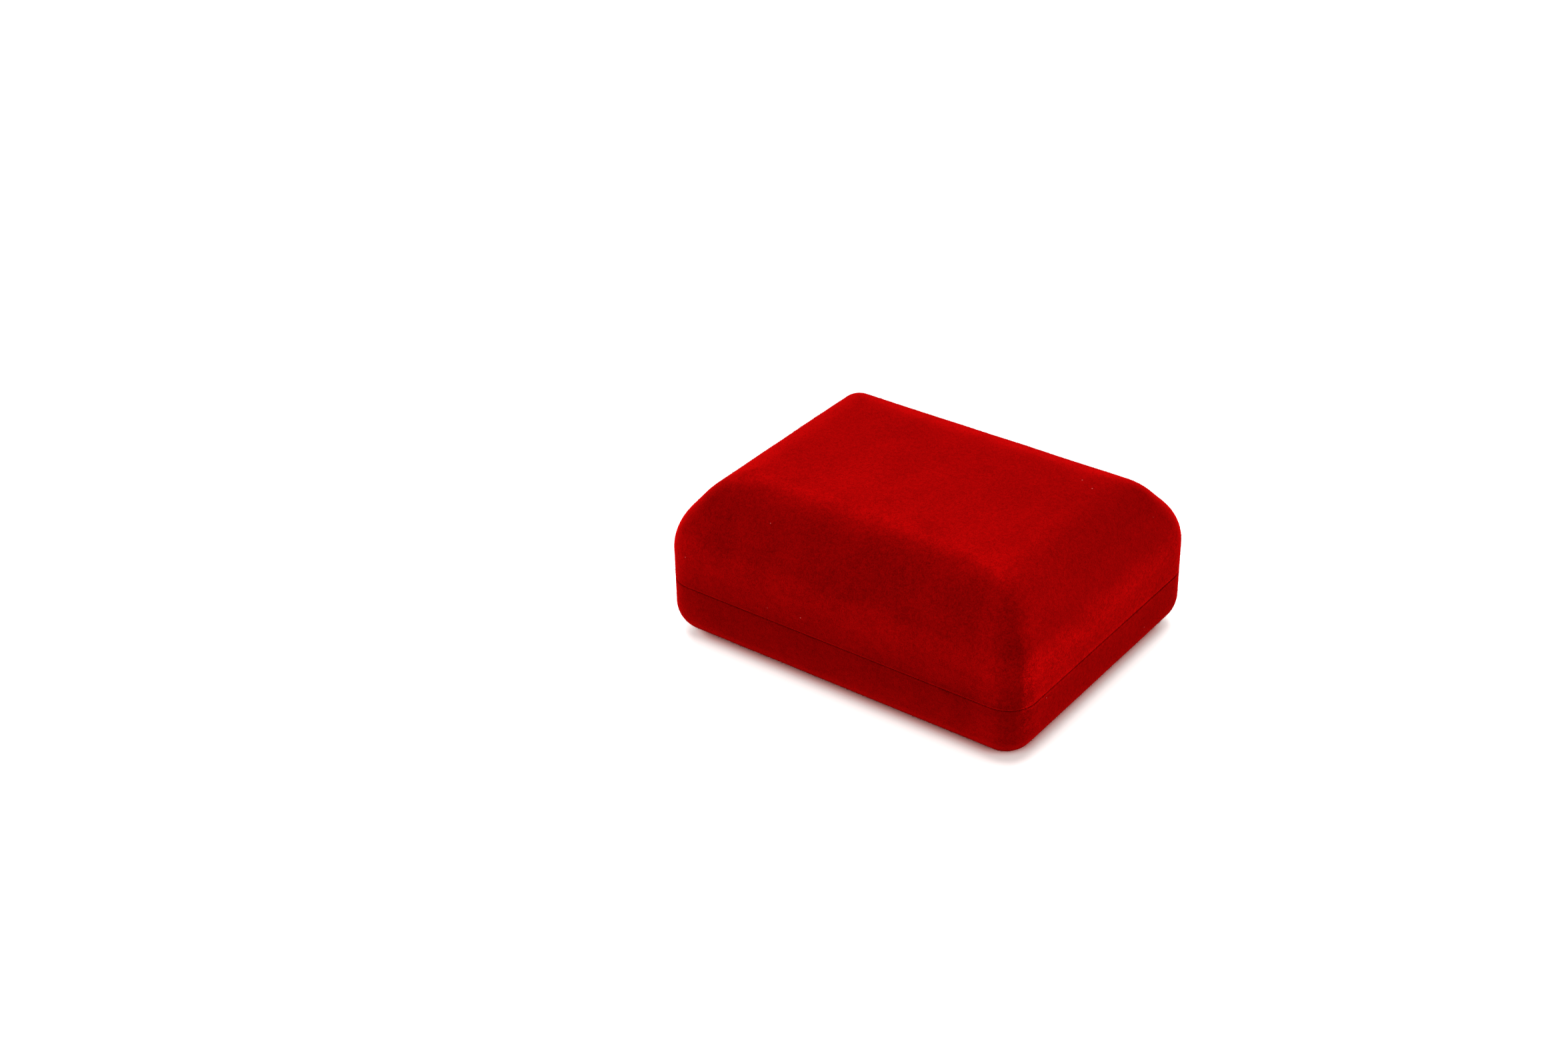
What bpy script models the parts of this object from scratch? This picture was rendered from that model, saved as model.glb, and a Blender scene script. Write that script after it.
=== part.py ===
"""A flocked cufflink box with a sprung lid, modelled at real size in metres, +Z up.

The origin is at the middle of the underside. X runs along the hinge, -Y is the front
that opens, and the lid turns about a steel pin in the back wall, just inside the flock.
Two moulded shells are lined with a card collar, a velvet insert with two slots for the
cufflinks and a satin pad, and a stamped hinge with two over-centre clips joins them.
"""

import math

import bmesh
import bpy
from mathutils import Matrix, Vector

# Outside of the closed box
box_length = 0.0850
box_width = 0.0660
box_height = 0.0361
seam_height = 0.0127
seam_gap = 0.0003
plan_corner_radius = 0.0062
foot_radius = 0.0069
rim_round = 0.0005

# Lid form: upright wall, bend, slope and crown
bend_height = 0.0240
bend_radius = 0.0130
slope_inset = 0.0104
slope_end_inset = 0.0092
crown_radius = 0.0160
crown_margin = 2.1
lid_corner_share = 0.40
foot_corner_share = 0.85
least_corner_radius = 0.0006

# Shells and the clearances between pieces
wall = 0.0016
seat_gap = 0.0003
running_gap = 0.0001
cut_past = 0.0020

# Collar that lines the base and locates the lid
collar_thickness = 0.0010
collar_lip = 0.0025

# Insert that carries the cufflinks
insert_board_thickness = 0.0012
insert_cover_thickness = 0.0008
insert_edge_drop = 0.0027
insert_crown = 0.0006
insert_edge_round = 0.0015
slot_width = 0.0050
slot_length = 0.0200
slot_spacing = 0.0340
slot_corner_radius = 0.0020

# Lining of the lid
skirt_thickness = 0.0008
pad_board_thickness = 0.0012
pad_cover_thickness = 0.0006
pad_foam_thickness = 0.0040
pad_crown = 0.0010
pad_hem = 0.0040

# Hinge
open_angle = 100.0
stop_clearance_angle = 3.0
pin_radius = 0.0006
pin_head_radius = 0.0009
pin_head_length = 0.0004
leaf_thickness = 0.0004
leaf_length = 0.0440
knuckle_count = 5
knuckle_gap = 0.0004
knuckle_wrap_angle = 285.0
notch_margin = 0.0004
rivet_head_radius = 0.0011
rivet_head_height = 0.0005
rivet_brim = 0.0003
rivet_radius = 0.0005
rivet_depth = 0.0011
rivet_spacing = 0.0090
rivet_count = 3

# Over-centre clips across the hinge, one at each end
clip_width = 0.0050
clip_thickness = 0.0003
clip_inset = 0.0045
clip_bulge = 0.0030
clip_bend_radius = 0.0007
clip_bow_radius = 0.0016
clip_bow_share = 0.55
keeper_height = 0.0008
keeper_thickness = 0.0004
keeper_room = 0.0008
keeper_overhang = 0.0006
keeper_post = 0.0006
recess_margin = 0.0010

# Fineness of the round stretches
corner_steps = 8
bend_steps = 6
small_steps = 3
crown_rings = 3
crown_reach = 0.85
pin_sides = 16
rivet_sides = 12
curl_steps = 16

half_length = box_length / 2
half_width = box_width / 2
pin_y = half_width - wall - seat_gap + pin_radius + running_gap
pin_z = seam_height
slope_end_share = slope_end_inset / slope_inset
base_rim = seam_height - seam_gap / 2
lid_rim = seam_height + seam_gap / 2


def clear_scene():
    """Removes whatever the file opened with."""
    for found in list(bpy.data.objects):
        bpy.data.objects.remove(found)


def material(name, colour, roughness, metallic=0.0):
    """A Principled material of one colour."""
    made = bpy.data.materials.new(name)
    made.use_nodes = True
    shader = made.node_tree.nodes["Principled BSDF"]
    shader.inputs["Base Color"].default_value = (*colour, 1.0)
    shader.inputs["Roughness"].default_value = roughness
    shader.inputs["Metallic"].default_value = metallic
    return made


def finish(name, bm, paint, parent):
    """Turns a bmesh, modelled in the box's frame, into an object under its body's empty."""
    bmesh.ops.remove_doubles(bm, verts=bm.verts, dist=1e-7)
    bmesh.ops.recalc_face_normals(bm, faces=bm.faces)
    if parent is not None:
        bmesh.ops.translate(bm, verts=bm.verts, vec=-parent.location)
    mesh = bpy.data.meshes.new(name)
    bm.to_mesh(mesh)
    bm.free()
    mesh.shade_smooth()
    mesh.set_sharp_from_angle(angle=math.radians(35))
    made = bpy.data.objects.new(name, mesh)
    bpy.context.scene.collection.objects.link(made)
    if paint is not None:
        mesh.materials.append(paint)
    made.parent = parent
    return made


def as_cutter(made):
    """Marks an object as a tool for Booleans only."""
    made.hide_render = True
    made.display_type = "WIRE"
    return made


def combine(target, tool, operation):
    """Adds a Boolean of one kind to target."""
    boolean = target.modifiers.new(operation.lower() + "_" + tool.name, "BOOLEAN")
    boolean.operation = operation
    boolean.solver = "EXACT"
    boolean.object = tool
    return target


def cut(target, *tools):
    """Takes each tool out of target."""
    for tool in tools:
        combine(target, tool, "DIFFERENCE")
    return target


def arc(centre, radius, start, turn, steps):
    """Points along an arc, in a plane, from the angle start through turn."""
    return [
        (
            centre[0] + radius * math.cos(start + turn * step / steps),
            centre[1] + radius * math.sin(start + turn * step / steps),
        )
        for step in range(steps + 1)
    ]


def rounded_path(corners, radii, steps):
    """A path through corners, with each inner corner turned on its own radius."""
    path = [corners[0]]
    for before, corner, after, radius in zip(corners, corners[1:], corners[2:], radii):
        at = Vector(corner)
        back, onward = Vector(before) - at, Vector(after) - at
        half = back.angle(onward) / 2
        reach = min(radius / math.tan(half), 0.49 * back.length, 0.49 * onward.length)
        radius = reach * math.tan(half)
        middle = (back.normalized() + onward.normalized()).normalized()
        centre = at + middle * radius / math.sin(half)
        first = at + back.normalized() * reach - centre
        last = at + onward.normalized() * reach - centre
        start = math.atan2(first.y, first.x)
        turn = math.atan2(last.y, last.x) - start
        turn = (turn + math.pi) % (2 * math.pi) - math.pi
        path += arc(centre, radius, start, turn, steps)
    return path + [corners[-1]]


def station(inset, z, offset=0.0, end_share=1.0, corner_share=1.0):
    """One level of a shell: its half length, half width, corner radius and height.

    inset is measured from the outside of the long walls. The part of it beyond offset,
    which is how deep in the wall the surface lies, is slope: the ends take end_share of
    that slope, and the corners sharpen by corner_share of it.
    """
    slope = inset - offset
    radius = plan_corner_radius - offset - corner_share * slope
    return (
        half_length - offset - end_share * slope,
        half_width - inset,
        max(radius, least_corner_radius),
        z,
    )


def ring_points(level, steps):
    """Points round one rounded rectangle at its height."""
    ring_length, ring_width, radius, z = level
    points = []
    for quarter, (side, front) in enumerate(((1, 1), (-1, 1), (-1, -1), (1, -1))):
        centre = (side * (ring_length - radius), front * (ring_width - radius))
        for x, y in arc(centre, radius, quarter * math.pi / 2, math.pi / 2, steps):
            points.append((x, y, z))
    return points


def extrude_ring(bm, verts, points):
    """Extrudes a ring of verts, moves the new ring to points and returns its verts."""
    edges = [bm.edges.get(pair) for pair in zip(verts, verts[1:] + verts[:1])]
    swept = bmesh.ops.extrude_edge_only(bm, edges=edges)["geom"]
    fresh = {item for item in swept if isinstance(item, bmesh.types.BMVert)}
    ring = []
    for vert, point in zip(verts, points):
        linked = (edge.other_vert(vert) for edge in vert.link_edges)
        ring.append(next(other for other in linked if other in fresh))
        ring[-1].co = point
    return ring


def stack_rings(bm, levels, steps):
    """Sweeps one rounded rectangle through all levels and returns its first and last rings."""
    first = [bm.verts.new(point) for point in ring_points(levels[0], steps)]
    for pair in zip(first, first[1:] + first[:1]):
        bm.edges.new(pair)
    last = first
    for level in levels[1:]:
        last = extrude_ring(bm, last, ring_points(level, steps))
    return first, last


def loft(name, levels, paint=None, parent=None, steps=corner_steps, place=(0, 0, 0)):
    """A closed solid through rounded rectangles, flat at its first and last."""
    bm = bmesh.new()
    for end in stack_rings(bm, levels, steps):
        bm.faces.new(end)
    bmesh.ops.translate(bm, verts=bm.verts, vec=place)
    return finish(name, bm, paint, parent)


def block(name, low, high, paint=None, parent=None):
    """A plain box between two corners."""
    bm = bmesh.new()
    bmesh.ops.create_cube(bm, size=1.0)
    size = Vector(high) - Vector(low)
    bmesh.ops.scale(bm, verts=bm.verts, vec=size)
    bmesh.ops.translate(bm, verts=bm.verts, vec=(Vector(high) + Vector(low)) / 2)
    return finish(name, bm, paint, parent)


def rod(name, radii, ends, place, direction, sides=16, paint=None, parent=None):
    """Coaxial cylinders stacked along X or Y. ends are the stations where radii change."""
    bm = bmesh.new()
    profile = [Vector((0, 0, ends[0]))]
    for radius, low, high in zip(radii, ends, ends[1:]):
        profile += [Vector((radius, 0, low)), Vector((radius, 0, high))]
    profile.append(Vector((0, 0, ends[-1])))
    verts = [bm.verts.new(point) for point in profile]
    edges = [bm.edges.new(pair) for pair in zip(verts, verts[1:])]
    bmesh.ops.spin(
        bm,
        geom=verts + edges,
        cent=(0, 0, 0),
        axis=(0, 0, 1),
        angle=2 * math.pi,
        steps=sides,
        use_merge=True,
    )
    turn = Vector((0, 0, 1)).rotation_difference(Vector(direction)).to_matrix().to_4x4()
    bmesh.ops.transform(bm, verts=bm.verts, matrix=Matrix.Translation(place) @ turn)
    return finish(name, bm, paint, parent)


def bent_strip(name, path, thickness, width, middle, paint=None, parent=None):
    """Sheet metal bent along a path of (y, z) points, and width wide along X about middle."""
    points = [Vector(point) for point in path]
    sides = ([], [])
    for index, point in enumerate(points):
        before = points[max(index - 1, 0)]
        after = points[min(index + 1, len(points) - 1)]
        along = (after - before).normalized()
        lean = (point - before).normalized() if index else along
        square = Vector((-along.y, along.x)) * thickness / 2
        square /= max(along.dot(lean), 0.5)
        sides[0].append(point + square)
        sides[1].append(point - square)
    outline = sides[0] + sides[1][::-1]
    bm = bmesh.new()
    verts = [bm.verts.new((middle - width / 2, y, z)) for y, z in outline]
    face = bm.faces.new(verts)
    swept = bmesh.ops.extrude_face_region(bm, geom=[face])["geom"]
    moved = [item for item in swept if isinstance(item, bmesh.types.BMVert)]
    bmesh.ops.translate(bm, verts=moved, vec=(width, 0, 0))
    bmesh.ops.triangulate(bm, faces=[f for f in bm.faces if len(f.verts) > 4])
    return finish(name, bm, paint, parent)


def spread(count, spacing):
    """Places of count things set spacing apart about zero."""
    return [(index - (count - 1) / 2) * spacing for index in range(count)]


def lid_outline(offset):
    """Corners of the lid's section at a depth of offset under its outside."""
    slope_run = Vector((slope_inset, box_height - bend_height))
    lean = math.atan2(slope_run.x, slope_run.y)
    bend_drop = offset * math.tan(lean / 2)
    crown_run = offset * math.tan((math.pi / 2 - lean) / 2)
    crown_length = crown_radius * math.tan((math.pi / 2 - lean) / 2)
    return (
        [
            (offset, lid_rim),
            (offset, bend_height - bend_drop),
            (slope_inset + crown_run, box_height - offset),
            (slope_inset + crown_length * crown_margin, box_height - offset),
        ],
        [max(bend_radius - offset, offset), max(crown_radius - offset, offset)],
    )


def lid_inset(z, offset):
    """How far in from the long walls the lid's section lies at a height, up to its flat crown's edge."""
    path = rounded_path(*lid_outline(offset), bend_steps)[:-1]
    for (low_inset, low), (high_inset, high) in zip(path, path[1:]):
        if low <= z <= high and high > low:
            return low_inset + (high_inset - low_inset) * (z - low) / (high - low)
    return path[-1][0]


def lid_level(z, offset):
    """The lid's section at a height, offset under its outside."""
    return station(lid_inset(z, offset), z, offset, slope_end_share, lid_corner_share)


def lid_levels(low, high, offset):
    """The lid's section between two heights, with a level at each of its bends, offset under its outside."""
    bends = rounded_path(*lid_outline(offset), bend_steps)[1:-2]
    return [lid_level(z, offset) for z in [low] + [z for _, z in bends if low < z < high] + [high]]


def rim_levels(rim, inward):
    """The rounded rim of a shell, from its outside in. inward is +1 where the rim faces up."""
    turn = -inward * math.pi / 2
    z = rim - inward * rim_round
    outer = arc((rim_round, z), rim_round, math.pi, turn, small_steps)
    inner = arc((wall - rim_round, z), rim_round, -turn, turn, small_steps)
    return [station(inset, z, offset=inset) for inset, z in outer + inner]


def hinge_cutters():
    """What both shells lose at the back: the bevels, the knuckles' notch and the rivets' holes."""
    bevel_angle = math.radians((open_angle + stop_clearance_angle) / 2)
    reach = half_width + cut_past - pin_y
    rise = reach * math.tan(bevel_angle)
    bm = bmesh.new()
    corners = [(pin_y, pin_z), (pin_y + reach, pin_z - rise), (pin_y + reach, pin_z + rise)]
    face = bm.faces.new([bm.verts.new((-box_length, y, z)) for y, z in corners])
    swept = bmesh.ops.extrude_face_region(bm, geom=[face])["geom"]
    moved = [item for item in swept if isinstance(item, bmesh.types.BMVert)]
    bmesh.ops.translate(bm, verts=moved, vec=(2 * box_length, 0, 0))
    bevel = as_cutter(finish("rear_bevel_cutter", bm, None, None))
    notch_half = leaf_length / 2 + pin_head_length + notch_margin
    notch = as_cutter(
        block(
            "knuckle_notch_cutter",
            (-notch_half, half_width - wall - cut_past, pin_z - knuckle_room()),
            (notch_half, half_width + cut_past, pin_z + knuckle_room()),
        )
    )
    return notch, bevel


def rivet_places(side):
    """Where the rivets of one leaf lie. side is -1 for the base and +1 for the lid."""
    z = pin_z + side * (knuckle_room() + leaf_reach()) / 2
    return [(x, z) for x in spread(rivet_count, rivet_spacing)]


def knuckle_room():
    """How far round the pin a knuckle and its clearance reach."""
    return pin_radius + running_gap + leaf_thickness + notch_margin


def leaf_reach():
    """How far each leaf reaches from the pin: the base's upright wall sets it for both."""
    return seam_height - foot_radius - seat_gap


def leaf_face():
    """The leaves' inner face, where the rivets' heads and the keepers stand."""
    return half_width - wall - seat_gap - leaf_thickness


def rivet_hole(name, x, z):
    """A hole for one rivet through a leaf and into the wall behind it."""
    clearance = rivet_radius + running_gap
    start = leaf_face() - seat_gap
    end = half_width - wall + rivet_depth + seat_gap
    place = (x, start, z)
    return as_cutter(rod(name, [clearance], [0, end - start], place, (0, 1, 0), rivet_sides))


def rivet(name, x, z, paint, parent):
    """A round-headed rivet that holds a leaf to its wall."""
    head_top = leaf_face() - running_gap - rivet_head_height
    shank_end = rivet_head_height + running_gap + leaf_thickness + seat_gap + rivet_depth
    ends = [0, rivet_head_height - rivet_brim, rivet_head_height, shank_end]
    radii = [rivet_head_radius - rivet_brim, rivet_head_radius, rivet_radius]
    return rod(name, radii, ends, (x, head_top, z), (0, 1, 0), rivet_sides, paint, parent)


def leaf(name, side, paint, parent):
    """One hinge leaf: a plate on the wall whose edge curls round the pin in knuckles."""
    curl_radius = pin_radius + running_gap + leaf_thickness / 2
    curl_turn = side * math.radians(knuckle_wrap_angle)
    curl = arc((pin_y, pin_z), curl_radius, math.pi, curl_turn, curl_steps)
    path = [(pin_y - curl_radius, pin_z + side * leaf_reach())] + curl
    made = bent_strip(name, path, leaf_thickness, leaf_length, 0.0, paint, parent)
    pitch = leaf_length / knuckle_count
    room = knuckle_room()
    for index, x in enumerate(spread(knuckle_count, pitch)):
        if (index % 2 == 0) == (side < 0):
            continue
        gap = block(
            f"{name}_gap_{index}",
            (x - pitch / 2 - knuckle_gap / 2, pin_y - room, pin_z - room),
            (x + pitch / 2 + knuckle_gap / 2, pin_y + room, pin_z + room),
        )
        cut(made, as_cutter(gap))
    for index, (x, z) in enumerate(rivet_places(side)):
        cut(made, rivet_hole(f"{name}_hole_{index}", x, z))
    for index, x in enumerate(clip_places()):
        combine(made, keeper(f"{name}_keeper_{index}", side, x), "UNION")
    return made


def clip_places():
    """Where the two clips lie along X, set in from the leaves' ends."""
    reach = leaf_length / 2 - clip_inset
    return -reach, reach


def keeper_places(side):
    """The keeper bar's inner face, outer face and two edges, in y and z."""
    bar_far = leaf_face() - keeper_room
    far_edge = pin_z + side * (leaf_reach() - seat_gap)
    return bar_far - keeper_thickness, bar_far, far_edge - side * keeper_height, far_edge


def keeper(name, side, x):
    """A strap raised from a leaf, which a clip's end hooks round."""
    inner, _, near_edge, far_edge = keeper_places(side)
    half = clip_width / 2 + keeper_overhang + keeper_post
    foot = leaf_face() + leaf_thickness / 2
    inside = half - keeper_post
    bm = bmesh.new()
    outline = [
        (x - half, foot),
        (x - half, inner),
        (x + half, inner),
        (x + half, foot),
        (x + inside, foot),
        (x + inside, inner + keeper_thickness),
        (x - inside, inner + keeper_thickness),
        (x - inside, foot),
    ]
    face = bm.faces.new([bm.verts.new((px, py, min(near_edge, far_edge))) for px, py in outline])
    swept = bmesh.ops.extrude_face_region(bm, geom=[face])["geom"]
    moved = [item for item in swept if isinstance(item, bmesh.types.BMVert)]
    bmesh.ops.translate(bm, verts=moved, vec=(0, 0, keeper_height))
    bmesh.ops.triangulate(bm, faces=[f for f in bm.faces if len(f.verts) > 4])
    return as_cutter(finish(name, bm, None, None))


def clip(name, x, paint, parent):
    """A spring strip, hooked round a keeper of each leaf and bowed in past the pin."""
    inner, bar_far, _, far_edge = keeper_places(1)
    slack = (keeper_room - clip_thickness) / 2
    under = bar_far + slack + clip_thickness / 2
    over = inner - slack - clip_thickness / 2
    turn = far_edge + slack + clip_thickness / 2 - pin_z
    hook_end = turn - keeper_height
    shoulder = turn - keeper_height - 3 * slack
    bow = under - clip_bulge
    upper = [
        (over, hook_end),
        (over, turn),
        (under, turn),
        (under, shoulder),
        (bow, shoulder * clip_bow_share),
    ]
    corners = [(y, pin_z - z) for y, z in upper] + [(y, pin_z + z) for y, z in upper[::-1]]
    hook_radius = (under - over) / 2
    radii = [hook_radius, hook_radius, clip_bend_radius, clip_bow_radius]
    path = rounded_path(corners, radii + radii[::-1], small_steps)
    return bent_strip(name, path, clip_thickness, clip_width, x, paint, parent)


def pin(paint, parent):
    """The hinge pin, peened over at both ends."""
    body = leaf_length / 2 + running_gap
    ends = [-body - pin_head_length, -body, body, body + pin_head_length]
    radii = [pin_head_radius, pin_radius, pin_head_radius]
    place = (0, pin_y, pin_z)
    return rod("hinge_pin", radii, ends, place, (1, 0, 0), pin_sides, paint, parent)


def recess_half():
    """Half the length of the room left for the hinge behind the linings."""
    clips = clip_places()[1] + clip_width / 2 + keeper_overhang + keeper_post
    return max(clips, leaf_length / 2) + recess_margin + insert_cover_thickness + seat_gap


def recess_front():
    """How far forward the room for the hinge reaches."""
    inner, bar_far, _, _ = keeper_places(1)
    return bar_far - clip_bulge - recess_margin


def recess(name, grow, low, high):
    """A cutter for the room round the hinge, grown by a lining's thickness."""
    return as_cutter(
        block(
            name,
            (-recess_half() - grow, recess_front() - grow, low),
            (recess_half() + grow, half_width + cut_past, high),
        )
    )


def slot(name, x, grow, low, high):
    """A cutter for one cufflink slot, grown by its lining's thickness."""
    level = (slot_width / 2 + grow, slot_length / 2 + grow, slot_corner_radius + grow)
    levels = [(*level, low), (*level, high)]
    return as_cutter(loft(name, levels, steps=4, place=(x, slot_y(), 0)))


def slot_y():
    """The slots are centred on the part of the insert in front of the hinge's recess."""
    front = -half_width + collar_inner() + seat_gap
    return (front + recess_front()) / 2


def collar_inner():
    """The collar's inner face, measured in from the outside of the walls."""
    return wall + seat_gap + collar_thickness


def floor_rise(inset):
    """Height of the tray's inside, floor or fillet, at a distance in from the walls."""
    into_fillet = foot_radius - inset
    if into_fillet <= 0:
        return wall
    return foot_radius - math.sqrt((foot_radius - wall) ** 2 - into_fillet**2)


def insert_levels():
    """Heights of the insert's board, foam and cover, from the floor up."""
    board_low = wall + seat_gap
    board_high = board_low + insert_board_thickness
    cover_low = max(board_high, floor_rise(collar_inner() + seat_gap)) + seat_gap
    return board_low, board_high, cover_low, seam_height - insert_edge_drop


def crowned(inset, low, top, crown, round_radius):
    """Levels of a pad: upright sides, a rounded edge and a top that swells to its middle."""
    edge = rounded_path(
        [(inset, low), (inset, top), (inset + 3 * round_radius, top)], [round_radius], small_steps
    )[:-1]
    levels = [station(at, z, offset=inset) for at, z in edge]
    start = edge[-1][0]
    span = half_width - start
    for ring in range(1, crown_rings + 1):
        share = crown_reach * ring / crown_rings
        swell = crown * (1 - (1 - share) ** 2)
        levels.append(station(start + share * span, top + swell, offset=inset))
    return levels


def base_shell(paint, parent, cutters):
    """The moulded tray: rounded foot, upright wall and rounded rim, hollow to its floor."""
    centre = (foot_radius, foot_radius)
    foot = arc(centre, foot_radius, -math.pi / 2, -math.pi / 2, bend_steps)
    outer = [station(inset, z, corner_share=foot_corner_share) for inset, z in foot]
    well = arc(centre, foot_radius - wall, math.pi, math.pi / 2, bend_steps)
    inner = [station(inset, z, wall, corner_share=foot_corner_share) for inset, z in well]
    made = loft("base_shell", outer + rim_levels(base_rim, 1) + inner, paint, parent)
    cut(made, *cutters)
    for index, (x, z) in enumerate(rivet_places(-1)):
        cut(made, rivet_hole(f"base_shell_hole_{index}", x, z))
    return made


def lid_shell(paint, parent, cutters):
    """The moulded lid: upright wall, sloped shoulders and flat crown, hollow from below."""
    outside = rounded_path(*lid_outline(0), bend_steps)[1:]
    inside = rounded_path(*lid_outline(wall), bend_steps)[1:]
    share = {"end_share": slope_end_share, "corner_share": lid_corner_share}
    outer = [station(inset, z, **share) for inset, z in outside[::-1]]
    inner = [station(inset, z, wall, **share) for inset, z in inside]
    made = loft("lid_shell", outer + rim_levels(lid_rim, -1) + inner, paint, parent)
    cut(made, *cutters)
    for index, (x, z) in enumerate(rivet_places(1)):
        cut(made, rivet_hole(f"lid_shell_hole_{index}", x, z))
    return made


def base_collar(paint, parent):
    """A card collar inside the base, whose lip stands up into the lid. Open at the hinge."""
    outer, inner = wall + seat_gap, collar_inner()
    low, high = foot_radius + seat_gap, seam_height + collar_lip
    lean = collar_thickness / 4
    levels = [
        station(inner, low, offset=inner),
        station(outer, low, offset=outer),
        station(outer, high - lean, offset=outer),
        station(outer + lean, high, offset=outer + lean),
        station(inner - lean, high, offset=inner - lean),
        station(inner, high - lean, offset=inner),
    ]
    return ring_solid("base_collar", levels, paint, parent)


def ring_solid(name, levels, paint, parent):
    """A hollow frame: its levels go once round the section and meet again."""
    bm = bmesh.new()
    stack_rings(bm, levels + levels[:1], corner_steps)
    return finish(name, bm, paint, parent)


def insert_board(paint, parent):
    """The card under the insert, cut back at the hinge."""
    low, high, _, _ = insert_levels()
    inset = foot_radius + seat_gap
    levels = [station(inset, z, offset=inset) for z in (low, high)]
    made = loft("insert_board", levels, paint, parent)
    return cut(made, recess("insert_board_recess", 0, 0, box_height))


def insert_cover(paint, parent):
    """The velvet over the foam, turned down round its sides, slots and hinge recess."""
    _, _, low, top = insert_levels()
    inset = collar_inner() + seat_gap
    skin = insert_cover_thickness
    made = loft("insert_cover", crowned(inset, low, top, insert_crown, insert_edge_round), paint, parent)
    hollow = as_cutter(
        loft(
            "insert_hollow_cutter",
            crowned(inset + skin, low - cut_past, top - skin, insert_crown, insert_edge_round - skin / 2),
        )
    )
    cut(hollow, recess("insert_lining_recess", skin, 0, box_height))
    for index, x in enumerate(spread(2, slot_spacing)):
        cut(hollow, slot(f"insert_lining_slot_{index}", x, skin, 0, box_height))
    cut(made, hollow, recess("insert_cover_recess", 0, 0, box_height))
    for index, x in enumerate(spread(2, slot_spacing)):
        cut(made, slot(f"insert_cover_slot_{index}", x, 0, 0, box_height))
    return made


def insert_foam(paint, parent):
    """The foam block inside the cover."""
    _, _, low, top = insert_levels()
    deep = insert_cover_thickness + seat_gap
    inset = collar_inner() + seat_gap + deep
    levels = crowned(inset, low, top - deep, insert_crown, insert_edge_round - deep / 2)
    made = loft("insert_foam", levels, paint, parent)
    cut(made, recess("insert_foam_recess", deep, 0, box_height))
    for index, x in enumerate(spread(2, slot_spacing)):
        cut(made, slot(f"insert_foam_slot_{index}", x, deep, 0, box_height))
    return made


def pad_levels():
    """Heights of the lid pad: the cover's top, the board's two faces, the foam's two faces."""
    cover_top = box_height - wall - seat_gap
    board_high = cover_top - pad_cover_thickness - seat_gap
    board_low = board_high - pad_board_thickness
    foam_high = board_low - seat_gap
    return cover_top, board_high, board_low, foam_high, foam_high - pad_foam_thickness


def pad_inner_depth():
    """How deep under the lid's outside the board and the foam lie."""
    return wall + 2 * seat_gap + pad_cover_thickness


def lid_pad_board(paint, parent):
    """The card that stiffens the pad, under the lid's ceiling."""
    _, high, low, _, _ = pad_levels()
    half, across, radius, _ = lid_level(high, pad_inner_depth())
    return loft("lid_pad_board", [(half, across, radius, z) for z in (low, high)], paint, parent)


def pad_face(low, deep, crown):
    """Levels of a pad's face, which swells down from its edge to its middle."""
    edge = lid_inset(low, deep)
    span = half_width - edge
    levels = []
    for ring in range(crown_rings, -1, -1):
        share = crown_reach * ring / crown_rings
        swell = crown * (1 - (1 - share) ** 2)
        inset = edge + share * span
        length_now = half_length - deep - slope_end_share * (edge - deep) - share * span
        radius = max(plan_corner_radius - deep - lid_corner_share * (inset - deep), least_corner_radius)
        levels.append((length_now, half_width - inset, radius, low - swell))
    return levels


def lid_pad_foam(paint, parent):
    """The foam of the pad, whose face swells down into the box."""
    _, _, _, high, low = pad_levels()
    deep = pad_inner_depth()
    levels = pad_face(low, deep, pad_crown)
    levels += lid_levels(low, high, deep)[1:]
    return loft("lid_pad_foam", levels, paint, parent)


def lid_pad_cover(paint, parent):
    """The satin over the pad: its face, its sides and a hem turned in behind the board."""
    top, _, _, _, foam_low = pad_levels()
    outer_deep = wall + seat_gap
    inner_deep = outer_deep + pad_cover_thickness
    inner_low = foam_low - seat_gap
    outer_low = inner_low - pad_cover_thickness
    hem_under = top - pad_cover_thickness
    outer = pad_face(outer_low, outer_deep, pad_crown)
    outer += lid_levels(outer_low, top, outer_deep)[1:]
    hem = lid_inset(top, outer_deep) + pad_hem
    mouth = [station(hem, z, outer_deep, slope_end_share, lid_corner_share) for z in (top, hem_under)]
    inner = lid_levels(inner_low, hem_under, inner_deep)[:0:-1]
    inner += pad_face(inner_low, inner_deep, pad_crown)[::-1]
    return loft("lid_pad_cover", outer + mouth + inner, paint, parent)


def lid_skirt(paint, parent):
    """The satin-covered card round the lid's walls, between the collar's lip and the pad."""
    _, _, _, _, foam_low = pad_levels()
    low = seam_height + collar_lip + seat_gap
    high = foam_low - 2 * seat_gap - pad_cover_thickness
    outer_deep = wall + seat_gap
    inner_deep = outer_deep + skirt_thickness
    levels = lid_levels(low, high, outer_deep)
    levels += lid_levels(low, high, inner_deep)[::-1]
    made = ring_solid("lid_skirt", levels, paint, parent)
    top = pin_z + leaf_reach() + recess_margin
    return cut(made, recess("lid_skirt_recess", 0, 0, top))


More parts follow.
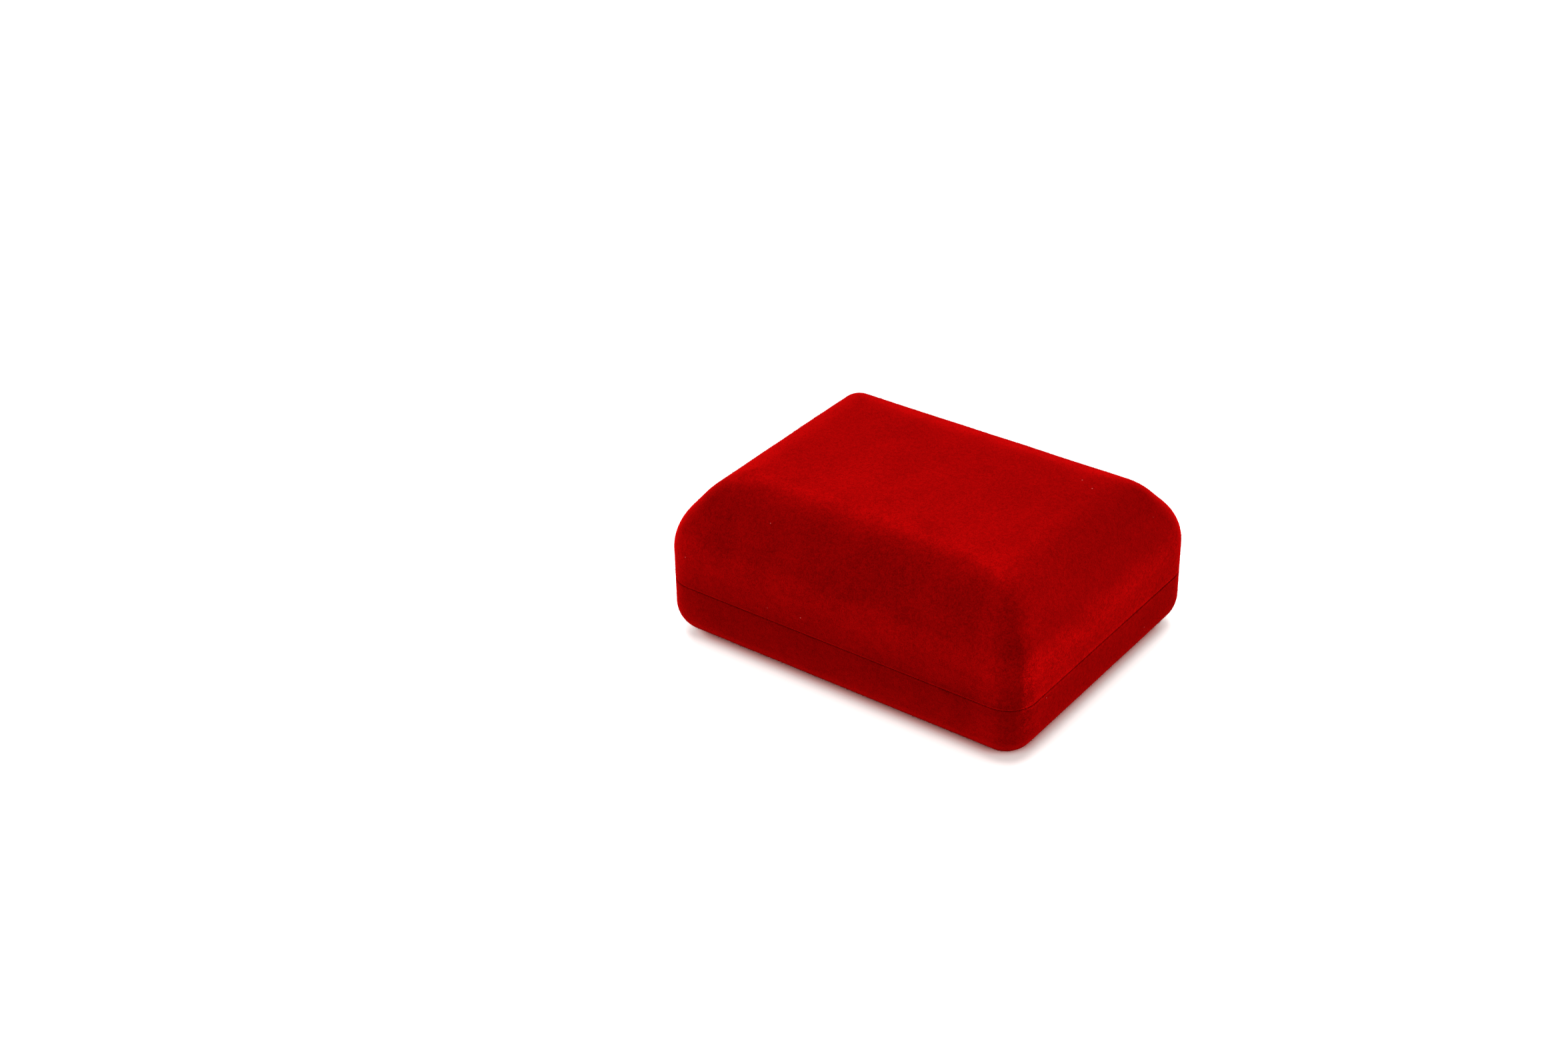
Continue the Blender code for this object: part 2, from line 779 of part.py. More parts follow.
def main():
    """Builds the box closed, each piece under the empty of the body that it moves with."""
    clear_scene()
    base = bpy.data.objects.new("base_body", None)
    lid = bpy.data.objects.new("lid_body", None)
    lid.location = (0, pin_y, pin_z)
    for body in (base, lid):
        bpy.context.scene.collection.objects.link(body)

    flock = material("red_flock", (0.40, 0.002, 0.002), 0.95)
    lining = material("red_velvet_lining", (0.30, 0.003, 0.006), 0.95)
    satin = material("ivory_satin", (0.83, 0.78, 0.68), 0.40)
    card = material("grey_card", (0.45, 0.43, 0.40), 0.90)
    foam = material("white_foam", (0.80, 0.79, 0.74), 0.95)
    steel = material("brassed_steel", (0.80, 0.62, 0.30), 0.30, 1.0)
    spring = material("bright_spring_steel", (0.70, 0.69, 0.67), 0.25, 1.0)

    cutters = hinge_cutters()
    base_shell(flock, base, cutters)
    base_collar_made = base_collar(lining, base)
    cut(base_collar_made, recess("base_collar_recess", 0, 0, box_height))
    insert_board(card, base)
    insert_foam(foam, base)
    insert_cover(lining, base)

    lid_shell(flock, lid, cutters)
    lid_skirt(satin, lid)
    lid_pad_board(card, lid)
    lid_pad_foam(foam, lid)
    lid_pad_cover(satin, lid)

    leaf("hinge_base_leaf", -1, steel, base)
    leaf("hinge_lid_leaf", 1, steel, lid)
    pin(spring, base)
    for name, x in zip(("left", "right"), clip_places()):
        clip(f"hinge_clip_{name}", x, spring, base)
    for index, (x, z) in enumerate(rivet_places(-1), start=1):
        rivet(f"base_rivet_{index}", x, z, steel, base)
    for index, (x, z) in enumerate(rivet_places(1), start=1):
        rivet(f"lid_rivet_{index}", x, z, steel, lid)


main()
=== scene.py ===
import logging
import math
import random
from dataclasses import dataclass
from enum import Enum
from typing import Any, Callable, Iterable, NamedTuple, Sequence

import bmesh
import bpy
from mathutils import Matrix, Vector, noise


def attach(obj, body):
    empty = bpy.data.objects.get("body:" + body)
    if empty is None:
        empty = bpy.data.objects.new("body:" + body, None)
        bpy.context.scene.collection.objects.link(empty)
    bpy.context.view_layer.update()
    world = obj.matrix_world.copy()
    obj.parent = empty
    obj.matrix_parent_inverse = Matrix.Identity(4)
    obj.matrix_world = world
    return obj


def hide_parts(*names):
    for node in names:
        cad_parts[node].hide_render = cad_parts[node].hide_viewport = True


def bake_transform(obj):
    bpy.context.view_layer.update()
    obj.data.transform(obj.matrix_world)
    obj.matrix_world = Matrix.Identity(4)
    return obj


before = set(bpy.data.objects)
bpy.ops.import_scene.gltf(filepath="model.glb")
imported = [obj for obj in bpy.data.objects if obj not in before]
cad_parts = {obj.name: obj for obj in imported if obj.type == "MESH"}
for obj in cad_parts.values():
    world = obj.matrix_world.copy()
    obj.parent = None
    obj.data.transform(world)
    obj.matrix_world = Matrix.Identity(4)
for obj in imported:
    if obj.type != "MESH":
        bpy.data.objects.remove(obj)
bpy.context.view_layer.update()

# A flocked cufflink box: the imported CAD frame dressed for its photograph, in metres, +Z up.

log = logging.getLogger("cufflink_box")

Colour = tuple[float, float, float]
Material = bpy.types.Material
Mesh = bmesh.types.BMesh
Object = bpy.types.Object
Path = list[tuple[float, ...]]
Point = Sequence[float]
Reach = tuple[float, float]
Tones = tuple[tuple[float, float], ...]


class Body(Enum):
    """The two bodies that the hinge joins."""

    BASE = "base"
    LID = "lid"


class Slot(Enum):
    """The record's material slots."""

    FLOCK = "red_flock"
    LINING = "red_velvet_lining"
    SATIN = "ivory_satin"
    CARD = "grey_card"
    FOAM = "white_foam"
    BRASS = "brassed_steel"
    SPRING = "bright_spring_steel"


class Boolean(Enum):
    """What a tool does to a piece."""

    CUT = "DIFFERENCE"
    JOIN = "UNION"


class Level(NamedTuple):
    """One level of a form: half its length, half its width, its corner radius and its height."""

    half_length: float
    half_width: float
    radius: float
    z: float


# Where most of a noise's values lie, how much of a run one corner may take, and how near points merge

MOST_NOISE: Reach = (0.3, 0.7)
RUN_SHARE = 0.49
MERGE = 1e-7


def eased(value: float, low: float, high: float) -> float:
    """Eases from 0 at low to 1 at high."""
    share = min(1.0, max(0.0, (value - low) / (high - low)))
    return share * share * (3 - 2 * share)


# Shader graphs


def operator(operation: str, reflected: bool = False) -> Callable[["Signal", Any], "Signal"]:
    """An operator of Signal that adds a Math node.

    Args:
        operation: The node's operation.
        reflected: True where the signal stands on the right.

    Returns:
        The operator.
    """

    def apply(self: "Signal", other: Any) -> "Signal":
        """This signal and the other value through a Math node."""
        return self.graph.sum(operation, *((other, self) if reflected else (self, other)))

    return apply


class Signal:
    """What a node gives out, with sums written as Python writes them."""

    def __init__(self, graph: "Graph", socket: bpy.types.NodeSocket) -> None:
        """Wraps one output socket of a graph."""
        self.graph = graph
        self.socket = socket

    __add__ = operator("ADD")
    __radd__ = operator("ADD", reflected=True)
    __sub__ = operator("SUBTRACT")
    __rsub__ = operator("SUBTRACT", reflected=True)
    __mul__ = operator("MULTIPLY")
    __rmul__ = operator("MULTIPLY", reflected=True)
    __pow__ = operator("POWER")


class Graph:
    """A material and the nodes that colour it."""

    def __init__(self, name: str) -> None:
        """Makes a material with a Principled shader.

        Args:
            name: The material's name.
        """
        self.material = bpy.data.materials.new(name)
        self.material.use_nodes = True
        self.tree = self.material.node_tree
        self.shader = self.tree.nodes["Principled BSDF"]

    def node(
        self,
        kind: str,
        settings: dict[str, Any] | None = None,
        inputs: dict[Any, Any] | None = None,
        output: Any = 0,
    ) -> Signal:
        """Adds a node, sets it up and feeds it.

        Args:
            kind: The node's type.
            settings: Its own settings, set before any socket. stops fills a grey ramp.
            inputs: Values or signals, by the socket's name or number.
            output: The name or number of the output to give.

        Returns:
            That output's signal.
        """
        made = self.tree.nodes.new(kind)
        for name, value in (settings or {}).items():
            if name == "stops":
                ramp = made.color_ramp
                ramp.interpolation = "EASE"
                for place, _ in value[2:]:
                    ramp.elements.new(place)
                for element, (place, tone) in zip(ramp.elements, value):
                    element.position = place
                    element.color = (tone, tone, tone, 1.0)
            else:
                setattr(made, name, value)
        for name, value in (inputs or {}).items():
            self.feed(made.inputs[name], value)
        return Signal(self, made.outputs[output])

    def feed(self, socket: bpy.types.NodeSocket, value: Any) -> None:
        """Links a signal to a socket, or sets a plain value there.

        Args:
            socket: The input socket.
            value: A signal, a number, or a tuple. A colour of three numbers becomes opaque.
        """
        if isinstance(value, Signal):
            self.tree.links.new(value.socket, socket)
        elif isinstance(value, tuple) and socket.type == "RGBA":
            socket.default_value = (*value, 1.0)
        else:
            socket.default_value = value

    def sum(self, operation: str, *values: Any) -> Signal:
        """A Math node on numbers and signals."""
        return self.node("ShaderNodeMath", {"operation": operation}, dict(enumerate(values)))

    def size(self, value: Signal) -> Signal:
        """A number without its sign."""
        return self.sum("ABSOLUTE", value)

    def place(self, *scale: float) -> Signal:
        """Object coordinates, scaled along each axis."""
        at = self.node("ShaderNodeTexCoord", output="Object")
        return self.node("ShaderNodeMapping", inputs={"Vector": at, "Scale": scale or (1.0, 1.0, 1.0)})

    def axes(self) -> list[Signal]:
        """Object coordinates as three numbers."""
        apart = self.node("ShaderNodeSeparateXYZ", inputs={0: self.place()}).socket.node
        return [Signal(self, socket) for socket in apart.outputs]

    def noise(
        self, at: Signal, size: float, detail: float = 2.0, roughness: float = 0.5, pull: float = 0.0
    ) -> Signal:
        """Noise about 0.5, in features about size metres across, pulled about by pull."""
        inputs = {"Vector": at, "Scale": 1.0 / size, "Detail": detail, "Roughness": roughness}
        return self.node("ShaderNodeTexNoise", inputs={**inputs, "Distortion": pull}, output="Fac")

    def cells(self, at: Signal, size: float) -> Signal:
        """The distance from the middle of cells about size across."""
        inputs = {"Vector": at, "Scale": 1.0 / size}
        return self.node("ShaderNodeTexVoronoi", inputs=inputs, output="Distance")

    def span(
        self, value: Signal, low: float, high: float, to_low: float = 0.0, to_high: float = 1.0
    ) -> Signal:
        """Eases from to_low to to_high while a value goes from low to high."""
        inputs = {"Value": value, "From Min": low, "From Max": high, "To Min": to_low, "To Max": to_high}
        return self.node("ShaderNodeMapRange", {"interpolation_type": "SMOOTHSTEP"}, inputs)

    def mix(self, factor: Any, first: Any, second: Any) -> Signal:
        """Mixes two colours, by a factor of 0 for the first and 1 for the second."""
        return self.node("ShaderNodeMix", {"data_type": "RGBA"}, {0: factor, 6: first, 7: second}, 2)

    def times(self, first: Signal, second: Signal) -> Signal:
        """Multiplies two colours."""
        settings = {"data_type": "RGBA", "blend_type": "MULTIPLY"}
        return self.node("ShaderNodeMix", settings, {0: 1.0, 6: first, 7: second}, 2)

    def tones(self, along: Signal, painted_shade: Tones) -> Signal:
        """A ramp of greys.

        Args:
            along: How far along it is, in metres.
            painted_shade: Places along it and the tone at each.

        Returns:
            The grey.
        """
        low, high = painted_shade[0][0], painted_shade[-1][0]
        stops = [((place - low) / (high - low), tone) for place, tone in painted_shade]
        share = (along - low) * (1.0 / (high - low))
        return self.node("ShaderNodeValToRGB", {"stops": stops}, {"Fac": share})

    def bump(self, height: Signal, depth: float, strength: float, under: Signal | None = None) -> Signal:
        """A normal tilted by a height.

        Args:
            height: The height, about 0 to 1.
            depth: What a height of 1 stands for, in metres.
            strength: How much of it is used.
            under: A normal that this one is laid over.

        Returns:
            The normal.
        """
        inputs = {"Height": height, "Distance": depth, "Strength": strength}
        if under is not None:
            inputs["Normal"] = under
        return self.node("ShaderNodeBump", inputs=inputs)

    def dress(self, **inputs: Any) -> Material:
        """Feeds the shader's sockets.

        Args:
            inputs: Values or signals, by socket name, with _ for a space.

        Returns:
            The material.
        """
        for name, value in inputs.items():
            self.feed(self.shader.inputs[name.replace("_", " ")], value)
        return self.material

    def lay_over(self, share: Signal, colour: Signal, normal: Signal) -> None:
        """Mixes a plain matt shader over the first.

        Args:
            share: 0 for the first shader, 1 for the matt one.
            colour: The matt shader's colour.
            normal: Its normal.
        """
        matt = {"Base Color": colour, "Roughness": 1.0, "Specular IOR Level": 0.0, "Normal": normal}
        over = self.node("ShaderNodeBsdfPrincipled", inputs=matt)
        under = Signal(self, self.shader.outputs[0])
        mixed = self.node("ShaderNodeMixShader", inputs={0: share, 1: under, 2: over})
        self.feed(self.tree.nodes["Material Output"].inputs["Surface"], mixed)


# Finishes


@dataclass(frozen=True)
class PaintedPileShade:
    """Painted light and shade on the pile of the closed box: its tone by height, round the corners, and along
    each face.

    The tones of the walls and ends go by height, the hips' by the distance past a corner's ridge: painted
    shade at the foot and the hips, painted light in the seam's groove and on the ridge.
    A fade is the tone at the two ends of its reach, a painted lightening towards the light.
    """

    long_walls: Tones
    ends: Tones
    lid_hip: Tones
    tray_hip: Tones
    seam: Reach = (0.0122, 0.0132)
    hip: float = 0.0115
    hip_blur: float = 0.0009
    crown_blur: float = 0.0040
    hip_band: Reach = (0.0200, 0.0335)
    hip_end: Reach = (0.0240, 0.0315)
    hip_top: Reach = (0.0345, 0.0358)
    hip_rise: float = 0.0010
    hip_shift: float = 0.001
    hip_reach: float = 0.0070
    wander: float = 0.007
    hip_wander: float = 0.0008
    level_wander: float = 0.0006
    end_grain: float = 0.46
    end_grain_stop: Reach = (0.0200, 0.0260)
    end_fade: Reach = (1.04, 0.77)
    end_reach: Reach = (-0.025, 0.014)
    front_fade: Reach = (0.94, 1.08)
    front_reach: Reach = (-0.030, 0.030)
    slope: Reach = (0.027, 0.032)
    slope_fade: float = 0.7
    top_fade: Reach = (1.08, 0.92)
    top_reach: Reach = (-0.018, 0.012)
    top: Reach = (0.0352, 0.0360)

    def shade(self, graph: Graph, grain: Signal, colour: Signal) -> Signal:
        """Darkens or lightens the pile's colour with painted light and shade.

        Args:
            graph: The material's graph.
            grain: The pile's grain.
            colour: The pile's colour.

        Returns:
            The shaded colour.
        """
        x, y, z = graph.axes()
        wander = graph.noise(graph.place(), self.wander, detail=1.0) - 0.5
        # Painted shade at the hips: where a corner faces the camera the pile is darkened, and it is lightened
        # just past it.
        past_hip = graph.size(x) - graph.size(y) + wander * self.hip_wander - self.hip
        sharpness = graph.span(z, *self.hip_band, 1 / self.hip_blur, 1 / self.crown_blur)
        on_end = graph.span(past_hip * sharpness, -1.0, 1.0)
        near_hip = 1.0 - graph.span(graph.size(past_hip + self.hip_shift), 0.0, self.hip_reach)
        # Painted highlight: near the hips the crown's bright tone reaches further down the slope.
        risen = near_hip * graph.span(z, *self.hip_band) * (1.0 - graph.span(z, *self.hip_top))
        level = z + wander * self.level_wander + risen * self.hip_rise
        over_seam = graph.span(z, *self.seam)

        upright = 1.0 - graph.span(z, *self.end_grain_stop)
        grit = (graph.span(grain, 0.2, 0.8) - 0.5) * upright * self.end_grain + 1.0
        # Painted shade: the end walls darken towards the back, away from the light.
        fade = graph.span(y, *self.end_reach, *self.end_fade)
        ends = graph.times(graph.tones(level, self.ends), grit * fade)

        # Painted light: the long walls lighten towards the right end and the crown towards the front.
        sideways = graph.span(x, *self.front_reach, *self.front_fade) - 1.0
        sideways = sideways * (1.0 - over_seam + graph.span(z, *self.slope) * self.slope_fade) + 1.0
        over_top = graph.span(y, *self.top_reach, *self.top_fade)
        gain = sideways + (over_top - sideways) * graph.span(z, *self.top)
        # Painted shade and light by height: a dark foot, a lit seam groove and a lit ridge.
        walls = graph.mix(on_end, graph.times(graph.tones(level, self.long_walls), gain), ends)

        # Painted shade and light round the hips, below the crown.
        plain = (self.lid_hip[0][1],) * 3
        tray, lid = (graph.tones(past_hip, tones) for tones in (self.tray_hip, self.lid_hip))
        corners = graph.mix(1.0 - graph.span(z, *self.hip_end), plain, graph.mix(over_seam, tray, lid))
        return graph.times(graph.times(colour, walls), corners)


@dataclass(frozen=True)
class Flock:
    """Short dense pile: dark face on, bright where it is seen edge on. Its grain and mottle are shares."""

    name: str
    deep: Colour
    bright: Colour
    sheen_roughness: float
    sheen_tint: Colour
    fibre: float
    clump: float
    brushing: float = 0.0090
    sheen: float = 0.74
    relief: float = 0.00006
    grain: float = 0.50
    mottle: float = 0.30
    lint: float = 0.0042
    lint_patch: float = 0.01302
    lint_round: Reach = (0.022, 0.034)
    lint_thinned: Reach = (0.52, 0.56)
    lint_colour: Colour = (0.62, 0.16, 0.14)
    # Painted shade at the foot: below these heights the pile is given a matt shader without its sheen.
    matt_foot_shade: Reach | None = None
    painted_shade: PaintedPileShade | None = None

    def material(self) -> Material:
        """Brushed patches, clumps and single fibres in the colour, fibres in the relief, a little lint, and
        where given, painted light and shade over the closed box and a painted shade at the foot.

        Returns:
            The material.
        """
        graph = Graph(self.name)
        at = graph.place()
        fibre = graph.noise(at, self.fibre, detail=1.0)
        clump = graph.noise(at, self.clump, roughness=0.6)
        brushed = graph.noise(graph.place(1.0, 0.6, 1.0), self.brushing, pull=0.6)
        grain = graph.span(fibre, 0.25, 0.75) * self.grain + graph.span(clump, *MOST_NOISE) * self.mottle
        grain = grain + graph.span(brushed, *MOST_NOISE) * (1.0 - self.grain - self.mottle)
        red = graph.mix(grain, self.deep, self.bright)
        # Painted light and shade over the closed box.
        if self.painted_shade:
            red = self.painted_shade.shade(graph, grain, red)
        fleck = 1.0 - graph.span(graph.cells(at, self.lint), *self.lint_round)
        fleck = fleck * graph.span(graph.noise(at, self.lint_patch), *self.lint_thinned)
        normal = graph.bump(fibre * 0.7 + clump * 0.5, self.relief, 0.9)
        # Painted shade: near the floor a matt shader without sheen darkens the foot.
        if self.matt_foot_shade:
            graph.lay_over(1.0 - graph.span(graph.axes()[2], *self.matt_foot_shade), red, normal)
        return graph.dress(
            Base_Color=graph.mix(fleck * 0.55, red, self.lint_colour),
            Roughness=1.0,
            Normal=normal,
            Specular_IOR_Level=0.0,
            Sheen_Weight=self.sheen,
            Sheen_Roughness=self.sheen_roughness,
            Sheen_Tint=self.sheen_tint,
        )


@dataclass(frozen=True)
class Satin:
    """Woven satin: long floats across a fine warp, with a soft sheen along one way."""

    name: str
    light: Colour = (0.80, 0.76, 0.67)
    shade: Colour = (0.71, 0.66, 0.56)
    float_length: float = 0.00160
    thread: float = 0.00018
    thread_relief: float = 0.00003
    fold: float = 0.012
    fold_relief: float = 0.0003

    def material(self) -> Material:
        """Threads in the colour, the gloss and the relief, over soft folds, with painted shade of the folds
        in the colour.

        Returns:
            The material.
        """
        graph = Graph(self.name)
        threads = graph.noise(graph.place(self.thread / self.float_length, 1.0, 1.0), self.thread, detail=1.0)
        folds = graph.noise(graph.place(), self.fold)
        # The threads' share is the weave's own tone; the folds' share is painted shade in the folds.
        dark = graph.span(threads, *MOST_NOISE) * 0.5 + graph.span(folds, *MOST_NOISE) * 0.4
        return graph.dress(
            Base_Color=graph.mix(dark, self.light, self.shade),
            Roughness=graph.span(threads, 0.2, 0.8, 0.34, 0.50),
            Normal=graph.bump(threads, self.thread_relief, 0.5, graph.bump(folds, self.fold_relief, 0.4)),
            Sheen_Weight=0.25,
            Sheen_Roughness=0.35,
            Anisotropic=0.5,
        )


@dataclass(frozen=True)
class Card:
    """Grey board with fibres and flecks in it."""

    name: str
    pale: Colour = (0.50, 0.48, 0.44)
    dark: Colour = (0.33, 0.31, 0.28)
    fleck_colour: Colour = (0.16, 0.14, 0.12)
    fibre: float = 0.0005
    fleck: float = 0.0016
    relief: float = 0.00004

    def material(self) -> Material:
        """Fibres and flecks in the colour, a felted relief.

        Returns:
            The material.
        """
        graph = Graph(self.name)
        fibres = graph.noise(graph.place(0.25, 1.0, 1.0), self.fibre, detail=3.0)
        flecks = 1.0 - graph.span(graph.cells(graph.place(), self.fleck), 0.06, 0.13)
        colour = graph.mix(graph.span(fibres, *MOST_NOISE), self.pale, self.dark)
        return graph.dress(
            Base_Color=graph.mix(flecks * 0.5, colour, self.fleck_colour),
            Roughness=graph.span(fibres, 0.2, 0.8, 0.80, 0.95),
            Normal=graph.bump(fibres, self.relief, 0.8),
        )


@dataclass(frozen=True)
class Foam:
    """Open-celled white foam."""

    name: str
    pale: Colour = (0.82, 0.81, 0.76)
    dark: Colour = (0.60, 0.58, 0.50)
    cell: float = 0.0005
    relief: float = 0.0002

    def material(self) -> Material:
        """Cells in the relief, and painted shade in each cell's hollow in the colour.

        Returns:
            The material.
        """
        graph = Graph(self.name)
        cell = graph.cells(graph.place(), self.cell)
        # Painted shade: each cell's hollow is darker.
        pore_shade = graph.span(cell, 0.15, 0.6)
        return graph.dress(
            Base_Color=graph.mix(pore_shade, self.dark, self.pale),
            Roughness=graph.span(cell, 0.1, 0.6, 1.0, 0.85),
            Normal=graph.bump(pore_shade, self.relief, 0.8),
        )


@dataclass(frozen=True)
class Plated:
    """Rolled steel under a thin bright plating, brushed one way and dulled in patches of tarnish."""

    name: str
    bright: Colour
    dull: Colour
    roughness: Reach
    brush: float = 0.00007
    brush_relief: float = 0.000002
    tarnish: float = 0.0045

    def material(self) -> Material:
        """Brushing and tarnish.

        Returns:
            The material.
        """
        graph = Graph(self.name)
        brushing = graph.noise(graph.place(0.03, 1.0, 1.0), self.brush, detail=1.0)
        tarnish = graph.noise(graph.place(), self.tarnish, detail=3.0)
        return graph.dress(
            Base_Color=graph.mix(graph.span(tarnish, 0.50, 0.75) * 0.5, self.bright, self.dull),
            Metallic=1.0,
            Roughness=graph.span(brushing * 0.6 + tarnish * 0.4, *MOST_NOISE, *self.roughness),
            Normal=graph.bump(brushing, self.brush_relief, 0.5),
        )


# Painted light and shade of the closed box: tones by height that darken the foot and lighten the seam's
# groove and the ridge, and hip tones that darken the corner facing the camera and lighten the band past it.
CLOSED_BOX_PAINTED_SHADE = PaintedPileShade(
    long_walls=(
        (0.0, 0.16), (0.0048, 0.37), (0.0066, 0.465), (0.0095, 0.415), (0.0115, 0.405), (0.0121, 0.375),
        (0.0128, 0.49), (0.0134, 0.378), (0.0142, 0.478), (0.0165, 0.535), (0.0205, 0.635), (0.0225, 0.65),
        (0.0250, 0.55), (0.0335, 0.515), (0.0343, 0.57), (0.0356, 0.79), (0.0361, 0.62),
    ),
    ends=(
        (0.0, 0.14), (0.0045, 0.315), (0.0070, 0.342), (0.0113, 0.345), (0.0121, 0.41), (0.0124, 0.63),
        (0.0130, 0.87), (0.0134, 0.80), (0.0141, 0.60), (0.0170, 0.715), (0.0200, 0.85), (0.0222, 0.80),
        (0.0250, 0.645), (0.0275, 0.69), (0.0310, 0.64), (0.0340, 0.63), (0.0350, 0.69), (0.0357, 0.75),
        (0.0361, 0.67),
    ),
    lid_hip=(
        (-0.0130, 0.80), (-0.0080, 0.96), (-0.0042, 0.79), (-0.0022, 0.75), (-0.0003, 0.73), (0.0020, 0.905),
        (0.0045, 0.89), (0.0080, 0.80),
    ),
    tray_hip=(
        (-0.0150, 0.80), (-0.0080, 1.0), (-0.0042, 0.80), (-0.0025, 0.79), (0.0020, 1.19), (0.0046, 0.96),
        (0.0080, 0.82),
    ),
)
RECIPES: dict[Slot, Flock | Satin | Card | Foam | Plated] = {
    Slot.FLOCK: Flock(
        name="red_flock_pile",
        deep=(0.200, 0.0006, 0.0006),
        bright=(0.480, 0.0014, 0.0014),
        sheen_roughness=0.50,
        sheen_tint=(1.0, 0.004, 0.004),
        fibre=0.00030,
        clump=0.0009,
        matt_foot_shade=(0.00084, 0.0042),
        painted_shade=CLOSED_BOX_PAINTED_SHADE,
    ),
    Slot.LINING: Flock(
        name="red_velvet_pile",
        deep=(0.062, 0.0004, 0.0007),
        bright=(0.170, 0.0009, 0.0015),
        sheen_roughness=0.45,
        sheen_tint=(1.0, 0.006, 0.008),
        fibre=0.00024,
        clump=0.0008,
        brushing=0.0060,
    ),
    Slot.SATIN: Satin("ivory_satin_weave"),
    Slot.CARD: Card("grey_board"),
    Slot.FOAM: Foam("white_foam_cells"),
    Slot.BRASS: Plated("brassed_sheet", (0.72, 0.53, 0.22), (0.44, 0.30, 0.12), (0.20, 0.38)),
    Slot.SPRING: Plated("bright_spring_sheet", (0.58, 0.57, 0.555), (0.38, 0.365, 0.34), (0.16, 0.32)),
}


class Finishes:
    """Every finish of the box, each made once."""

    def __init__(self) -> None:
        """Starts with none made."""
        self.made: dict[Slot, Material] = {}

    def dress(self, made: Object, slot: Slot) -> None:
        """Gives an object the finish of a slot.

        Args:
            made: The object.
            slot: The record's slot.
        """
        if slot not in self.made:
            self.made[slot] = RECIPES[slot].material()
        made.data.materials.clear()
        made.data.materials.append(self.made[slot])


# Meshes


def arc(centre: Point, radius: float, start: float, turn: float, steps: int) -> Path:
    """Points along an arc in a plane, its ends included, from the angle start on by turn."""
    angles = [start + turn * step / steps for step in range(steps + 1)]
    return [(centre[0] + radius * math.cos(angle), centre[1] + radius * math.sin(angle)) for angle in angles]


def rounded_path(corners: Sequence[Point], radii: Sequence[float], steps: int) -> Path:
    """A path through corners, with each inner corner turned on its own radius.

    Args:
        corners: The path's corners.
        radii: The radius at each inner corner.
        steps: The steps of each inner corner.

    Returns:
        The path's points.
    """
    path = [tuple(corners[0])]
    for before, corner, after, radius in zip(corners, corners[1:], corners[2:], radii):
        at = Vector(corner)
        back, onward = Vector(before) - at, Vector(after) - at
        half = back.angle(onward) / 2
        reach = min(radius / math.tan(half), RUN_SHARE * back.length, RUN_SHARE * onward.length)
        radius = reach * math.tan(half)
        middle = (back.normalized() + onward.normalized()).normalized()
        centre = at + middle * radius / math.sin(half)
        first = at + back.normalized() * reach - centre
        last = at + onward.normalized() * reach - centre
        start = math.atan2(first.y, first.x)
        turn = (math.atan2(last.y, last.x) - start + math.pi) % (2 * math.pi) - math.pi
        path += arc(centre, radius, start, turn, steps)
    return path + [tuple(corners[-1])]


def divided(path: Sequence[Point], longest: float) -> Path:
    """A path with its long runs divided.

    Args:
        path: The points.
        longest: The longest step allowed.

    Returns:
        The points, with more between them where they lay further apart.
    """
    points = [tuple(path[0])]
    for before, after in zip(path, path[1:]):
        start, end = Vector(before), Vector(after)
        count = max(1, math.ceil((end - start).length / longest))
        points += [tuple(start.lerp(end, step / count)) for step in range(1, count + 1)]
    return points


@dataclass(frozen=True)
class RingCount:
    """How finely a rounded rectangle is divided."""

    corner: int = 12
    along: int = 44
    across: int = 34


def ring_points(level: Level, count: RingCount) -> list[Vector]:
    """Points round one rounded rectangle at its height.

    Args:
        level: The rectangle.
        count: How finely it is divided.

    Returns:
        The points, anticlockwise from the +X side.
    """
    points: list[Vector] = []
    radius = min(level.radius, level.half_length, level.half_width)
    sides = ((1, 1), (-1, 1), (-1, -1), (1, -1))
    for quarter, (side, front) in enumerate(sides):
        centre = (side * (level.half_length - radius), front * (level.half_width - radius))
        turned_corner = arc(centre, radius, quarter * math.pi / 2, math.pi / 2, count.corner)
        points += [Vector((x, y, level.z)) for x, y in turned_corner]
        start, end = points[-1], points[-1].copy()
        next_side, next_front = sides[(quarter + 1) % 4]
        if quarter % 2 == 0:
            end.x, runs = next_side * (level.half_length - radius), count.along
        else:
            end.y, runs = next_front * (level.half_width - radius), count.across
        points += [start.lerp(end, step / runs) for step in range(1, runs)]
    return points


def sweep(levels: Sequence[Level], count: RingCount, closed: bool = False) -> Mesh:
    """A body swept through rounded rectangles, its rings extruded one from another.

    Args:
        levels: The rectangles, in order over its surface.
        count: How finely each is divided.
        closed: True for a hollow frame, whose last level meets its first.

    Returns:
        The mesh, capped at both ends unless it is a frame.
    """
    bm = bmesh.new()
    first = [bm.verts.new(point) for point in ring_points(levels[0], count)]
    for pair in zip(first, first[1:] + first[:1]):
        bm.edges.new(pair)
    ring = first
    for level in list(levels[1:]) + ([levels[0]] if closed else []):
        edges = [bm.edges.get(pair) for pair in zip(ring, ring[1:] + ring[:1])]
        fresh = set(bmesh.ops.extrude_edge_only(bm, edges=edges)["geom"])
        linked = [[edge.other_vert(vert) for edge in vert.link_edges] for vert in ring]
        ring = [next(vert for vert in others if vert in fresh) for others in linked]
        for vert, point in zip(ring, ring_points(level, count)):
            vert.co = point
    if not closed:
        bm.faces.new(first)
        bm.faces.new(ring)
    return bm


